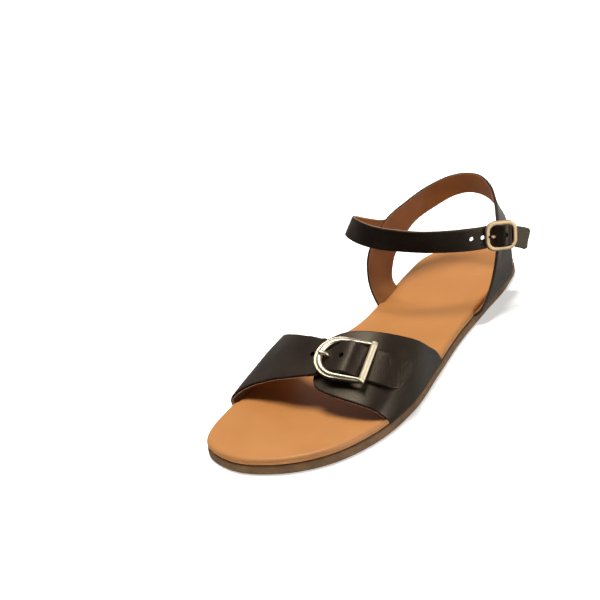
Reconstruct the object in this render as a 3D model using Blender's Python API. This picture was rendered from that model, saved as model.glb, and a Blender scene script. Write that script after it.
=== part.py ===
"""A flat sandal for the left foot, built from its sole, its straps and its buckles.

Sizes are in millimetres and become metres in the meshes. The toe points to -Y, the outer
side of the foot to +X and the sole stands on z = 0.
"""

import math

import bmesh
import bpy
import numpy as np

METRES_PER_MM = 0.001
GAP = 0.3
# The part's origin lies midway between its outermost points across the foot, this far
# outwards of the line through the middle of the sole.
ORIGIN_X = 1.75

# Sole: total lengths come from its edge, a row for each place, x across and y along,
# from the heel's tip down the inner side to the toe and back up the outer side.
OUTSOLE_THICK = 5.4
FOOTBED_EDGE = 3.7
SOLE_STATIONS = 46
SOLE_EDGE = (
    (-2, 126), (-19, 120), (-30, 101), (-30, 78), (-26, 42), (-25, 11), (-38, -29),
    (-43, -55), (-44, -82), (-33, -120), (-14, -126), (10, -120), (30, -104), (43, -77),
    (46, -49), (41, -12), (36, 25), (33, 60), (30, 92), (23, 116),
)
# Edge profiles, a row for each ring: how far it lies inside the sole's edge, and its height.
OUTSOLE_RINGS = ((1.4, 0.0), (0.45, 0.35), (0.0, 1.2), (0.0, 4.5), (0.5, OUTSOLE_THICK))
FOOTBED_RINGS = (
    (1.0, 0.0), (0.55, 0.5), (0.35, 1.4), (0.55, 2.5), (1.3, 3.3), (2.6, FOOTBED_EDGE),
)
# Footbed contour above its edge: a row for each place along the sole, with the height on
# the inner side, in the middle and on the outer side.
FOOTBED_CONTOUR = (
    (-126, 0.0, 0.0, 0.0), (-60, 0.2, 0.1, 0.2), (-10, 0.6, 0.5, 0.4), (15, 1.5, 0.8, 0.5),
    (45, 0.9, -0.1, 0.3), (85, 0.5, -0.9, 0.5), (126, 0.3, 0.2, 0.3),
)

# Front straps: crown height of the instep above the straps' seat on the outsole.
STRAP_THICK = 1.8
SEAT = OUTSOLE_THICK + GAP
OUTER_ROOF = 1.8
INNER_ROOF = 1.4
INSTEP = (
    (-100, 7), (-80, 12.8), (-73, 16.3), (-60, 23.3), (-50, 29.3), (-40, 34.3), (-25, 41.3),
    (0, 47),
)
# How much fuller than an ellipse the straps stand on the outer and on the inner side.
OUTER_SWELL = 0.15
INNER_SWELL = 0.8
# A strap's row: turn over the foot (0 outer edge, 90 crown, 180 inner edge), the places of
# its front edge and its rear edge along the sole, and its lift off the instep.
OUTER_STRAP = (
    (0, -69, -4, 0), (10, -71, -9.5, 0), (20, -71.8, -17, 0), (32, -72.6, -23, 0),
    (41, -73.2, -27.2, 0), (50, -73.7, -31.6, 0), (60, -74, -35, 0), (70, -74, -38.2, 0),
    (78, -73.8, -41.6, 0), (84, -72.8, -44.5, 0), (88, -70.5, -49.5, 0), (90.5, -66, -55, 0),
)
OVER = STRAP_THICK + GAP
INNER_STRAP = (
    (98, -71.2, -50.3, OVER), (102, -71.5, -48.4, 1.8), (108, -72.2, -46.6, 1.1),
    (116, -73.3, -44.8, 0.4), (125, -74.6, -42.6, 0.05), (136, -76.2, -40, 0),
    (147, -78, -36.3, 0), (158, -79.3, -31.8, 0), (169, -79.8, -26.5, 0), (180, -79.6, -22, 0),
)
# The inner strap's tongue, from its tip: distance from the front buckle's centre bar, and
# its front and rear edges across the buckle.
TONGUE = (
    (28.2, 1.5, 9.6), (27.6, -1.2, 11.3), (26.2, -4.4, 12), (22, -7.6, 11), (13.8, -9.4, 9.6),
    (6, -9.9, 9.4), (0, -9.9, 9.3), (-5, -9.2, 7.6), (-9.2, -6.9, 5.8), (-11.4, -7.6, 7.0),
    (-13.2, -9.8, 9.6),
)

# Heel strap and ankle strap: x, y, z on the inner face, for the upper edge and the lower
# edge, a row for each fold, from the outer foot over the heel to the inner foot.
HEEL_SEAT = SEAT + 1.0
HEEL_STRAP = (
    (32.4, 44, HEEL_SEAT, 30.3, 76, HEEL_SEAT), (37.6, 62, 31.6, 34.8, 89.5, 20.2),
    (31, 84, 51, 28.3, 101.6, 36.3),
    (21, 100.5, 61, 17, 109, 47.5), (1, 108, 64.5, 1, 113, 50), (-17, 101, 61, -16, 110, 46.5),
    (-29, 78, 53, -29, 93, 36.6), (-35.5, 48.5, 31.4, -33.5, 70, 15),
    (-23.9, 37, HEEL_SEAT, -26.5, 62.8, HEEL_SEAT),
)
ANKLE_STRAP_THICK = 1.6
# From the sewn end on the inner side, round the front of the ankle, to the tip.
ANKLE_STRAP = (
    (-34.3, 81, 45, -33.6, 82, 32), (-35, 66, 50.5, -34.8, 67, 37.5),
    (-38, 56, 55, -41.5, 58, 41.8), (-39, 47.5, 59, -47, 49, 46),
    (-32.5, 41.4, 60.6, -37, 41.6, 46.2), (-19, 37.6, 59.8, -20, 38.5, 45.4),
    (-4, 38.3, 58.8, -4, 39.5, 45.2), (8.5, 43.2, 57, 8.2, 44.2, 43.8),
    (17.4, 49.8, 55.3, 17.6, 50.2, 42.4), (25.7, 58, 53.3, 26.5, 57.7, 40.8),
    (31.9, 65.7, 51.7, 33.6, 65.4, 39.9), (40, 76.2, 49.3, 42.2, 74.8, 37.8),
    (48.4, 86.2, 45, 50.6, 84.8, 32.4),
)

# Front buckle: a D with its straight bar outwards, and its place on the outer strap.
D_PLACE = (14.6, -57.2)
D_ACROSS = (-0.115, 0.897)
D_HALF_LENGTH = 13.8
D_HALF_WIDTH = 12.0
D_ROD = 1.5
D_BAR = 1.75
D_BAR_OVERHANG = 1.3
D_CENTRE_BAR = 0.9
D_CHAPE_WIDTH = 12.0
D_HUMP_REACH = 12.0

# Ankle buckle: a rounded square, placed as a share of the way along the ankle strap.
SQUARE_SHARE = 0.885
SQUARE_HALF_LENGTH = 8.6
SQUARE_HALF_WIDTH = 8.0
SQUARE_CORNER = 4.6
SQUARE_ROD = 1.15
SQUARE_CENTRE_BAR = 0.8
SQUARE_CHAPE_WIDTH = 9.0
SQUARE_HUMP_REACH = 7.5

CHAPE_THICK = 0.8
SLIP = 0.15
PRONG_ROD = 0.8
# A prong's line from its eye to its tip on the frame: places along the strap from the centre
# bar, and heights above the frame's own plane. Then the slot it comes up through.
FRONT_PRONG = ((-1.6, 1.2), (-4, -0.4), (-7.2, -2.5), (-9.4, -0.9), (-11.4, 1.8), (-14.6, 2.45))
FRONT_PRONG_SLOT = (-10.4, -6.2)
ANKLE_PRONG = ((-1.5, 0.9), (-2.6, -0.6), (-4.2, -1.5), (-5.4, 0.2), (-6.4, 2.0), (-9.2, 2.3))
ANKLE_PRONG_SLOT = (-6.5, -2.7)
HOLE_RADIUS = 1.4
# Punched holes: how far each lies along the strap from its buckle's centre bar.
FRONT_HOLES = (-19.5, -2.6)
ANKLE_HOLES = (-21.0, -13.8, 2.6)


def clear_scene():
    for old in list(bpy.data.objects):
        bpy.data.objects.remove(old)


def material(name, colour, roughness, metallic=0.0):
    made = bpy.data.materials.new(name)
    made.use_nodes = True
    shader = made.node_tree.nodes["Principled BSDF"]
    shader.inputs["Base Color"].default_value = (*colour, 1.0)
    shader.inputs["Roughness"].default_value = roughness
    shader.inputs["Metallic"].default_value = metallic
    return made


def flow(knots, values, at):
    """Smooth curve through the values at the knots, read at other places."""
    knots = np.asarray(knots, float)
    values = np.asarray(values, float).reshape(len(knots), -1)
    at = np.clip(np.asarray(at, float), knots[0], knots[-1])
    slopes = np.gradient(values, knots, axis=0)
    left = np.clip(np.searchsorted(knots, at, side="right") - 1, 0, len(knots) - 2)
    span = (knots[left + 1] - knots[left])[..., None]
    s = (at - knots[left])[..., None] / span
    ends = (1 + 2 * s) * (1 - s) ** 2 * values[left] + s**2 * (3 - 2 * s) * values[left + 1]
    bend = s * (1 - s) ** 2 * slopes[left] - s**2 * (1 - s) * slopes[left + 1]
    return ends + span * bend


def lengths(points):
    """Distance along a line of points, from its first one."""
    steps = np.linalg.norm(np.diff(points, axis=0), axis=1)
    return np.concatenate([[0.0], np.cumsum(steps)])


def unit(vector):
    vector = np.asarray(vector, float)
    return vector / np.linalg.norm(vector, axis=-1, keepdims=True)


def closed_edge():
    """The sole's edge as a dense closed line."""
    rows = np.array(SOLE_EDGE, float)
    wrap = 3
    padded = np.concatenate([rows[-wrap:], rows, rows[: wrap + 1]])
    knots = lengths(padded)
    at = np.linspace(knots[wrap], knots[wrap + len(rows)], 1200, endpoint=False)
    return flow(knots, padded, at)


EDGE = closed_edge()
TOE = int(EDGE[:, 1].argmin())
HEEL = int(EDGE[:, 1].argmax())


def sole_side(y, outer):
    """x of the sole's edge at a place along it, on the outer or the inner side."""
    turned = np.roll(EDGE, -TOE, axis=0)
    split = (HEEL - TOE) % len(EDGE)
    half = turned[: split + 1] if outer else turned[split:][::-1]
    return np.interp(y, half[:, 1], half[:, 0])


def outline():
    """Stations of the sole with an inner and an outer point each, and its two tips."""
    low, high = EDGE[TOE], EDGE[HEEL]
    turn = np.linspace(0.0, math.pi, SOLE_STATIONS + 2)[1:-1]
    y = (low[1] + high[1]) / 2 + (high[1] - low[1]) / 2 * np.cos(turn)
    inner = np.stack([sole_side(y, False), y], axis=1)
    outer = np.stack([sole_side(y, True), y], axis=1)
    return np.concatenate([[high], inner, [low], outer[::-1]])


def inset(loop, distance):
    """The loop moved inwards, square to its own line."""
    tangent = unit(np.roll(loop, -1, axis=0) - np.roll(loop, 1, axis=0))
    outward = np.stack([tangent[:, 1], -tangent[:, 0]], axis=1)
    return loop - outward * distance


def add_object(name, points, faces, look):
    mesh = bpy.data.meshes.new(name)
    shifted = np.asarray(points) - (ORIGIN_X, 0, 0)
    mesh.from_pydata((shifted * METRES_PER_MM).tolist(), [], faces)
    made = bmesh.new()
    made.from_mesh(mesh)
    bmesh.ops.remove_doubles(made, verts=made.verts, dist=1e-7)
    bmesh.ops.recalc_face_normals(made, faces=made.faces)
    made.to_mesh(mesh)
    made.free()
    obj = bpy.data.objects.new(name, mesh)
    obj.data.materials.append(look)
    bpy.context.scene.collection.objects.link(obj)
    return obj


def combine(target, other, operation):
    """Cuts the other solid from the target, or joins it on, and hides the other."""
    step = target.modifiers.new(operation.lower(), "BOOLEAN")
    step.operation = operation
    step.solver = "EXACT"
    step.use_self = True
    step.object = other
    other.hide_render = True
    other.display_type = "WIRE"


def band_between(first, second):
    """Quads between two loops of the same length, given as lists of point numbers."""
    count = len(first)
    return [
        (first[i], first[(i + 1) % count], second[(i + 1) % count], second[i]) for i in range(count)
    ]


def build_outsole(look):
    loop = outline()
    points = []
    for distance, height in OUTSOLE_RINGS:
        ring = inset(loop, distance)
        points.append(np.column_stack([ring, np.full(len(ring), height)]))
    count = len(loop)
    numbers = np.arange(count * len(points)).reshape(len(points), count).tolist()
    faces = [numbers[0][::-1], numbers[-1]]
    for low, high in zip(numbers, numbers[1:]):
        faces += band_between(low, high)
    return add_object("outsole", np.concatenate(points), faces, look)


def build_footbed(look):
    loop = outline()
    base = OUTSOLE_THICK + GAP / 2
    points = []
    for distance, height in FOOTBED_RINGS:
        ring = inset(loop, distance)
        points.append(np.column_stack([ring, np.full(len(ring), base + height)]))
    rim = points[-1]
    count = len(loop)
    half = SOLE_STATIONS
    partner = np.array([0, *range(count - 1, half + 1, -1), half + 1, *range(half, 0, -1)])
    middle = (rim + rim[partner]) / 2
    middle[0] = middle[1]
    middle[half + 1] = middle[half]
    rise = flow([row[0] for row in FOOTBED_CONTOUR], [row[1:] for row in FOOTBED_CONTOUR], middle[:, 1])
    side = np.where(np.arange(count) <= half, rise[:, 0], rise[:, 2])
    for share in (0.12, 0.3, 0.55, 0.8, 1.0):
        ring = rim * (1 - share) + middle * share
        eased = math.sin(math.pi / 2 * share)
        shoulder = math.sin(math.pi * min(share * 1.6, 1.0))
        ring[:, 2] = base + FOOTBED_EDGE + rise[:, 1] * eased + (side - rise[:, 1]) * shoulder * 0.6
        points.append(ring)
    numbers = np.arange(count * len(points)).reshape(len(points), count).tolist()
    faces = [numbers[0][::-1]]
    for low, high in zip(numbers, numbers[1:]):
        faces += band_between(low, high)
    return add_object("footbed", np.concatenate(points), faces, look)


def instep(turn, y):
    """Point on the inside of the front straps."""
    outer = sole_side(y, True) - STRAP_THICK
    inner = sole_side(y, False) + STRAP_THICK
    across = np.cos(np.radians(turn))
    swell = np.where(across > 0, OUTER_SWELL, INNER_SWELL) * (1 - across**2)
    rise = flow([row[0] for row in INSTEP], [row[1:] for row in INSTEP], y)[..., 0]
    x = (outer + inner) / 2 + (outer - inner) / 2 * across * (1 + swell)
    power = np.where(across > 0, OUTER_ROOF, INNER_ROOF)
    z = SEAT + rise * np.sqrt(np.maximum(1 - np.abs(across) ** power, 0.0))
    return np.stack([x, y, z], axis=-1)


def instep_normal(turn, y):
    """Outward direction of the instep."""
    step = 0.05
    turn = np.clip(turn, step, 180 - step)
    round_foot = instep(turn + step, y) - instep(turn - step, y)
    along_foot = instep(turn, y + step) - instep(turn, y - step)
    return unit(np.cross(round_foot, along_foot) * -1)


def instep_turn(x, y):
    """Turn over the foot at a place in plan, above the sides' fullest part."""
    turns = np.linspace(10, 150, 400)
    places = instep(turns, np.full(len(turns), float(y)))[:, 0]
    return np.interp(-x, -places, turns)


def grid_normals(grid, outward):
    """Unit normals of a grid of points, on the side that the hint points to."""
    along = np.gradient(grid, axis=0)
    across = np.gradient(grid, axis=1)
    normal = unit(np.cross(along, across))
    return normal * np.sign((normal * outward).sum(axis=-1).mean())


def hump(grid, normal, place, direction, height, reach):
    """The grid raised in a smooth fold across its way, over a buckle's centre bar, and its normals."""
    away = ((grid - place) * direction).sum(axis=-1) / reach
    near = (np.abs(away) < 1) & (np.linalg.norm(grid - place, axis=-1) < 3 * reach)
    swell = height * np.cos(away * math.pi / 2) ** 2 * near
    slope = -height * math.pi / (2 * reach) * np.sin(away * math.pi) * near
    return grid + normal * swell[..., None], unit(normal - direction * slope[..., None])


def front_grid(rows, along, across):
    """Points of a front strap's inner face, with the directions that point out of it."""
    table = np.array(rows, float)
    read = flow(np.arange(len(rows)), table, np.linspace(0, len(rows) - 1, along))
    share = np.linspace(0, 1, across + 1)
    turn = np.clip(read[:, 0:1] * (1 - share) + read[:, 2:3] * share, 0, 180)
    y = read[:, 1:2] * (1 - share) + read[:, 3:4] * share
    normal = instep_normal(turn, y)
    return instep(turn, y) + normal * read[:, 4][:, None, None], normal


def straight_rows(rows):
    """Rows whose front and rear edges have the same turn over the foot."""
    return [(turn, front, turn, rear, lift) for turn, front, rear, lift in rows]


def tongue_rows(seat):
    """Rows of the inner strap's tongue, laid out square to the front buckle."""
    rows = []
    for u, front, rear in TONGUE:
        row = []
        for v in (front, rear):
            x, y = np.array(D_PLACE) + seat.u[:2] * u + seat.v[:2] * v
            row += [instep_turn(x, y), y]
        rows.append((*row, OVER))
    return rows


def band_grid(rows, along, across):
    """Points of a band between its upper and its lower edge, at even steps of the way."""
    table = np.array(rows, float)
    knots = lengths((table[:, :3] + table[:, 3:]) / 2)
    read = flow(knots, table, np.linspace(0, knots[-1], along))
    share = np.linspace(0, 1, across + 1)[None, :, None]
    return read[:, None, :3] * (1 - share) + read[:, None, 3:] * share


def slab(name, inner, outer, look):
    """Closed solid between two grids of points."""
    rows, columns = inner.shape[:2]
    low = np.arange(rows * columns).reshape(rows, columns)
    high = low + rows * columns
    faces = []
    for sheet in (low, high):
        for i in range(rows - 1):
            for j in range(columns - 1):
                faces.append((sheet[i, j], sheet[i + 1, j], sheet[i + 1, j + 1], sheet[i, j + 1]))
    rim = [*low[0, :-1], *low[:-1, -1], *low[-1, :0:-1], *low[:0:-1, 0]]
    faces += band_between(rim, [number + rows * columns for number in rim])
    faces = [tuple(int(number) for number in face) for face in faces]
    points = np.concatenate([inner.reshape(-1, 3), outer.reshape(-1, 3)])
    return add_object(name, points, faces, look)


def foot_cutter(name, foot, out, look):
    """What a strap's foot takes from the footbed: the foot grown by a gap, and all outside it.

    The rows of the foot run upwards from the outsole.
    """
    foot = np.concatenate([foot[:1] - (0, 0, 3), foot])
    out = np.concatenate([out[:1], out])
    edge = unit(foot[:, -1] - foot[:, 0]) * GAP
    foot[:, 0] -= edge
    foot[:, -1] += edge
    return slab(name, foot - out * GAP, foot + out * 8, look)


def sweep(name, path, axis, radii, look, sides=8, closed=False):
    """Rod along a flat path: radii are its half widths in the path's plane and along the axis."""
    path = np.asarray(path, float)
    axis = unit(axis)
    if closed:
        tangent = np.roll(path, -1, axis=0) - np.roll(path, 1, axis=0)
    else:
        tangent = np.gradient(path, axis=0)
    beside = unit(np.cross(tangent, axis))
    turn = np.arange(sides) * 2 * math.pi / sides + math.pi / sides
    ring = (
        path[:, None]
        + beside[:, None] * (np.cos(turn) * radii[0])[None, :, None]
        + axis * (np.sin(turn) * radii[1])[None, :, None]
    )
    numbers = np.arange(len(path) * sides).reshape(len(path), sides).tolist()
    faces = []
    for low, high in zip(numbers, numbers[1:]):
        faces += band_between(low, high)
    if closed:
        faces += band_between(numbers[-1], numbers[0])
    else:
        faces += [numbers[0][::-1], numbers[-1]]
    return add_object(name, ring.reshape(-1, 3), faces, look)


class Seat:
    """A buckle's own directions: along its strap, across it and out of it."""

    def __init__(self, start, end, across):
        self.origin = (start + end) / 2
        self.u = unit(end - start)
        self.v = unit(across - self.u * np.dot(across, self.u))
        self.n = np.cross(self.u, self.v)

    def point(self, u, v, n):
        return self.origin + self.u * u + self.v * v + self.n * n


def extrude(name, seat, profile, low, high, look):
    """Solid with the same profile (u, n) all along a stretch of the buckle's width."""
    near = [seat.point(u, low, n) for u, n in profile]
    far = [seat.point(u, high, n) for u, n in profile]
    count = len(profile)
    first = list(range(count))
    second = list(range(count, 2 * count))
    faces = [first[::-1], second, *band_between(first, second)]
    return add_object(name, near + far, faces, look)


def build_chape(name, seat, bar, width, tail, look):
    """Leather loop round the centre bar, with its doubled tail to the strap that carries it.

    The tail's end is given in u and n.
    """
    inner = bar + SLIP
    outer = inner + CHAPE_THICK
    heading = math.atan2(tail[1], tail[0])
    mouth = math.asin(CHAPE_THICK / outer)
    turn = np.linspace(heading + mouth, heading + 2 * math.pi - mouth, 14)
    profile = [(outer * math.cos(a), outer * math.sin(a)) for a in turn]
    beside = (-math.sin(heading) * CHAPE_THICK, math.cos(heading) * CHAPE_THICK)
    profile.append((tail[0] - beside[0], tail[1] - beside[1]))
    profile.append((tail[0] + beside[0], tail[1] + beside[1]))
    loop = extrude(name, seat, profile, -width / 2, width / 2, look)
    bore = [seat.point(0, v, 0) for v in (-width, 0, width)]
    combine(loop, sweep(name + "_bore", bore, seat.n, (inner, inner), look, sides=12), "DIFFERENCE")
    low, high = -outer - 8, outer + 1
    slot = [(-outer - 1, low), (0.7, low), (0.7, high), (-outer - 1, high)]
    slot_half = PRONG_ROD + 2 * GAP
    combine(loop, extrude(name + "_slot", seat, slot, -slot_half, slot_half, look), "DIFFERENCE")
    return loop


def build_prong(name, seat, bar, rows, look):
    """Rod hooked round the centre bar, bowed under the strap and up through its hole."""
    ring = bar + SLIP + 0.4
    turn = np.linspace(math.radians(85), math.radians(275), 11)
    eye = [seat.point(ring * math.cos(a), 0, ring * math.sin(a)) for a in turn]
    prong = sweep(name, eye, seat.v, (0.4, PRONG_ROD), look)
    line = [seat.point(u, 0, n) for u, n in rows]
    combine(prong, sweep(name + "_shank", line, seat.v, (PRONG_ROD, PRONG_ROD), look), "UNION")
    return prong


def prong_slot(name, seat, span, look):
    """Slot through a strap where the prong comes up, with a gap on each side of it."""
    near, far = span
    half = PRONG_ROD + GAP
    box = [(near, -3.8), (far, -3.8), (far, 3.0), (near, 3.0)]
    return extrude(name, seat, box, -half, half, look)


def punch(strap, grid, normal, seat, distance, look):
    """A round hole right through a strap, at a distance along it from the buckle's centre bar."""
    middle = grid.shape[1] // 2
    line = grid[:, middle]
    along = ((line - seat.origin) * seat.u).sum(axis=1)
    near = np.linalg.norm(line - seat.origin, axis=1) < 40
    row = int(np.where(near, np.abs(along - distance), np.inf).argmin())
    direction = normal[row, middle]
    side = np.cross(direction, seat.v)
    reach = [line[row] - direction * 3, line[row] + direction * 5]
    name = strap.name + "_hole_" + str(row)
    combine(strap, sweep(name, reach, side, (HOLE_RADIUS, HOLE_RADIUS), look, sides=12), "DIFFERENCE")


def build_d_frame(seat, look):
    """Round end, two straight sides, the thicker straight bar and the centre bar."""
    centre = D_HALF_WIDTH - D_HALF_LENGTH
    turn = np.linspace(math.pi / 2, 3 * math.pi / 2, 23)
    line = [(D_HALF_LENGTH, D_HALF_WIDTH), (D_HALF_LENGTH / 2, D_HALF_WIDTH)]
    line += [(centre + D_HALF_WIDTH * math.cos(a), D_HALF_WIDTH * math.sin(a)) for a in turn]
    line += [(D_HALF_LENGTH / 2, -D_HALF_WIDTH), (D_HALF_LENGTH, -D_HALF_WIDTH)]
    path = [seat.point(u, v, 0) for u, v in line]
    frame = sweep("front_buckle_frame", path, seat.n, (D_ROD, D_ROD), look)
    reach = D_HALF_WIDTH + D_BAR_OVERHANG
    bar = [seat.point(D_HALF_LENGTH, v, 0) for v in (-reach, 0, reach)]
    combine(frame, sweep("front_buckle_bar", bar, seat.n, (D_BAR, D_BAR), look, sides=10), "UNION")
    bar = [seat.point(0, v, 0) for v in (-D_HALF_WIDTH, 0, D_HALF_WIDTH)]
    size = (D_CENTRE_BAR, D_CENTRE_BAR)
    combine(frame, sweep("front_buckle_centre", bar, seat.n, size, look), "UNION")
    return frame


def build_square_frame(seat, look):
    line = []
    for corner in range(4):
        su = (1, -1, -1, 1)[corner] * (SQUARE_HALF_LENGTH - SQUARE_CORNER)
        sv = (1, 1, -1, -1)[corner] * (SQUARE_HALF_WIDTH - SQUARE_CORNER)
        for step in range(6):
            a = (corner + step / 5) * math.pi / 2
            line.append((su + SQUARE_CORNER * math.cos(a), sv + SQUARE_CORNER * math.sin(a)))
    path = [seat.point(u, v, 0) for u, v in line]
    size = (SQUARE_ROD * 1.1, SQUARE_ROD)
    frame = sweep("ankle_buckle_frame", path, seat.n, size, look, closed=True)
    bar = [seat.point(0, v, 0) for v in (-SQUARE_HALF_WIDTH, 0, SQUARE_HALF_WIDTH)]
    size = (SQUARE_CENTRE_BAR, SQUARE_CENTRE_BAR)
    combine(frame, sweep("ankle_buckle_centre", bar, seat.n, size, look), "UNION")
    return frame


def front_buckle_seat():
    """The front buckle lies over the inner strap, which passes under both its end bars."""
    x, y = D_PLACE
    turn = instep_turn(x, y)
    base = instep(turn, np.float64(y))
    normal = instep_normal(turn, np.float64(y))
    beside = y + D_ACROSS[1]
    slope = instep(instep_turn(x + D_ACROSS[0], beside), np.float64(beside)) - base
    along = unit(np.cross(slope, normal))
    reach = D_HALF_LENGTH
    for _ in range(4):
        ends = []
        for side in (-reach, reach):
            plan = np.array(D_PLACE) + along[:2] * side
            turn = instep_turn(plan[0], plan[1])
            out = instep_normal(turn, plan[1])
            ends.append(instep(turn, plan[1]) + out * (2 * OVER + D_BAR + GAP))
        reach *= 2 * D_HALF_LENGTH / np.linalg.norm(ends[1] - ends[0])
    return Seat(ends[0], ends[1], slope), base


def main():
    clear_scene()
    leather = material("dark_leather", (0.028, 0.021, 0.017), 0.5)
    tan = material("tan_footbed", (0.69, 0.31, 0.11), 0.45)
    rubber = material("taupe_rubber", (0.15, 0.085, 0.04), 0.6)
    gold = material("champagne_metal", (0.86, 0.74, 0.55), 0.25, 1.0)

    build_outsole(rubber)
    footbed = build_footbed(tan)

    grid, normal = front_grid(straight_rows(OUTER_STRAP), 34, 8)
    slab("front_strap_outer", grid, grid + normal * STRAP_THICK, leather)
    combine(footbed, foot_cutter("outer_strap_seat", grid[:10], normal[:10], leather), "DIFFERENCE")

    seat, base = front_buckle_seat()
    above = np.dot(seat.origin - base, seat.n)
    crest = above + D_CENTRE_BAR + SLIP + CHAPE_THICK + GAP
    rows = tongue_rows(seat) + straight_rows(INNER_STRAP)
    grid, normal = front_grid(rows, 70, 8)
    place = seat.origin - seat.n * above
    grid, normal = hump(grid, normal, place, seat.u, crest - OVER, D_HUMP_REACH)
    strap = slab("front_strap_inner", grid, grid + normal * STRAP_THICK, leather)
    cutter = foot_cutter("inner_strap_seat", grid[:-13:-1], normal[:-13:-1], leather)
    combine(footbed, cutter, "DIFFERENCE")
    combine(strap, prong_slot("front_prong_slot", seat, FRONT_PRONG_SLOT, leather), "DIFFERENCE")
    for distance in FRONT_HOLES:
        punch(strap, grid, normal, seat, distance, leather)

    build_d_frame(seat, gold)
    build_prong("front_buckle_prong", seat, D_CENTRE_BAR, FRONT_PRONG, gold)
    tail = (0.0, STRAP_THICK + GAP - above)
    build_chape("front_buckle_chape", seat, D_CENTRE_BAR, D_CHAPE_WIDTH, tail, leather)

    heel_grid = band_grid(HEEL_STRAP, 48, 6)
    middle = np.array([0.0, 65.0, 35.0])
    normal = grid_normals(heel_grid, heel_grid - middle)
    heel_face = heel_grid + normal * STRAP_THICK
    heel = slab("heel_strap", heel_grid, heel_face, leather)
    cutter = foot_cutter("heel_seat_outer", heel_grid[:4], normal[:4], leather)
    combine(footbed, cutter, "DIFFERENCE")
    cutter = foot_cutter("heel_seat_inner", heel_grid[:-5:-1], normal[:-5:-1], leather)
    combine(footbed, cutter, "DIFFERENCE")

    grid = band_grid(ANKLE_STRAP, 90, 4)
    normal = grid_normals(grid, grid - middle)
    row = round(SQUARE_SHARE * (len(grid) - 1))
    place = grid[row, 2]
    out = normal[row, 2]
    along = unit(grid[row + 1, 2] - grid[row - 1, 2])
    level = ANKLE_STRAP_THICK + 2 * GAP + SQUARE_ROD
    reach = along * SQUARE_HALF_LENGTH
    raised = place + out * level
    seat = Seat(raised - reach, raised + reach, grid[row, 0] - grid[row, -1])
    crest = level + SQUARE_CENTRE_BAR + SLIP + CHAPE_THICK + 3 * GAP
    grid, normal = hump(grid, normal, place, seat.u, crest, SQUARE_HUMP_REACH)
    ankle = slab("ankle_band", grid, grid + normal * ANKLE_STRAP_THICK, leather)
    combine(heel, ankle, "UNION")

    build_square_frame(seat, gold)
    build_prong("ankle_buckle_prong", seat, SQUARE_CENTRE_BAR, ANKLE_PRONG, gold)
    combine(heel, prong_slot("ankle_prong_slot", seat, ANKLE_PRONG_SLOT, leather), "DIFFERENCE")
    for distance in ANKLE_HOLES:
        punch(heel, grid, normal, seat, distance, leather)
    away = (heel_face - seat.origin).reshape(-1, 3)
    nearest = away[np.linalg.norm(away, axis=1).argmin()]
    tail = np.array([nearest @ seat.u, nearest @ seat.n])
    tail -= unit(tail) * (GAP + CHAPE_THICK)
    build_chape("ankle_buckle_chape", seat, SQUARE_CENTRE_BAR, SQUARE_CHAPE_WIDTH, tail, leather)


main()
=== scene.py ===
# %% [markdown]
# # A flat leather sandal
#
# This lesson dresses a flat sandal for the left foot: a rubber outsole, a leather footbed, two wide
# front straps that meet in a D-shaped buckle, a heel strap, and an ankle strap with a small square
# buckle. The plain solids of the sandal come first and fix where everything goes. Each step then
# lays a finer piece over its solid. All working sizes are in millimetres, with the toe towards -Y,
# the outer side of the foot towards +X and the ground at z = 0.

# %% Load the plain solids
import math

import bmesh
import bpy
import numpy as np
from mathutils import Matrix, Vector


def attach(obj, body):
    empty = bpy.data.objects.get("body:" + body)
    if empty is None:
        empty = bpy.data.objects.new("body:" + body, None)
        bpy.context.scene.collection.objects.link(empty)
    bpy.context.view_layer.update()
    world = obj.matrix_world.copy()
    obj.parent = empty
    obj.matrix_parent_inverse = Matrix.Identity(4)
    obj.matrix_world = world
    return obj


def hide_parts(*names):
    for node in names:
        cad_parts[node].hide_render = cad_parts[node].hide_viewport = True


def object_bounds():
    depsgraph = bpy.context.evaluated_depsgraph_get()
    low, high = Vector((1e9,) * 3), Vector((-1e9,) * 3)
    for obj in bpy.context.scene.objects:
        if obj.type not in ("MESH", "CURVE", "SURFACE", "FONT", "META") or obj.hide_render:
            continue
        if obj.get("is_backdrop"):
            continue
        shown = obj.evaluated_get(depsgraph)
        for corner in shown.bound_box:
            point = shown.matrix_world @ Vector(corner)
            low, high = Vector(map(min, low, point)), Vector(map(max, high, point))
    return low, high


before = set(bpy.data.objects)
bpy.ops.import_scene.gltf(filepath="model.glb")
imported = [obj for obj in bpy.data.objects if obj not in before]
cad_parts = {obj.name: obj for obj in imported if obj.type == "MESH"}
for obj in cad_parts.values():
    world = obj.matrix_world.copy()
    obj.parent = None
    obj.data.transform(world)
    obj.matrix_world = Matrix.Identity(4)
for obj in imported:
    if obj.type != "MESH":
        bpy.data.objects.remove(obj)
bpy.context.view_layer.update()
METRES_PER_MM = 0.001
ORIGIN_X = 1.75
print("solids:", ", ".join(sorted(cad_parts)))

# %% [markdown]
# ## Colours and shader nodes
#
# Colours are picked as sRGB hex codes, the way a paint chart gives them, but a renderer works with
# linear light. One function converts them. A second one adds a shader node, sets its fields or
# sockets by name and links its inputs, which keeps each material short enough to read.

# %% Colour and node helpers
def colour(code):
    """Linear RGBA of an sRGB hex code."""
    parts = [int(code[i : i + 2], 16) / 255 for i in (1, 3, 5)]
    linear = [p / 12.92 if p <= 0.04045 else ((p + 0.055) / 1.055) ** 2.4 for p in parts]
    return (*linear, 1.0)


def node(tree, kind, settings, links):
    """Adds a node, sets its sockets or fields and links its inputs."""
    made = tree.nodes.new(kind)
    for name, value in settings.items():
        if isinstance(name, int) or name in made.inputs:
            made.inputs[name].default_value = value
        else:
            setattr(made, name, value)
    for name, source in links.items():
        tree.links.new(source, made.inputs[name])
    return made


def per_metre(size_mm):
    """Texture scale for a pattern whose repeat has this size."""
    return 1.0 / (size_mm * METRES_PER_MM)


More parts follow.
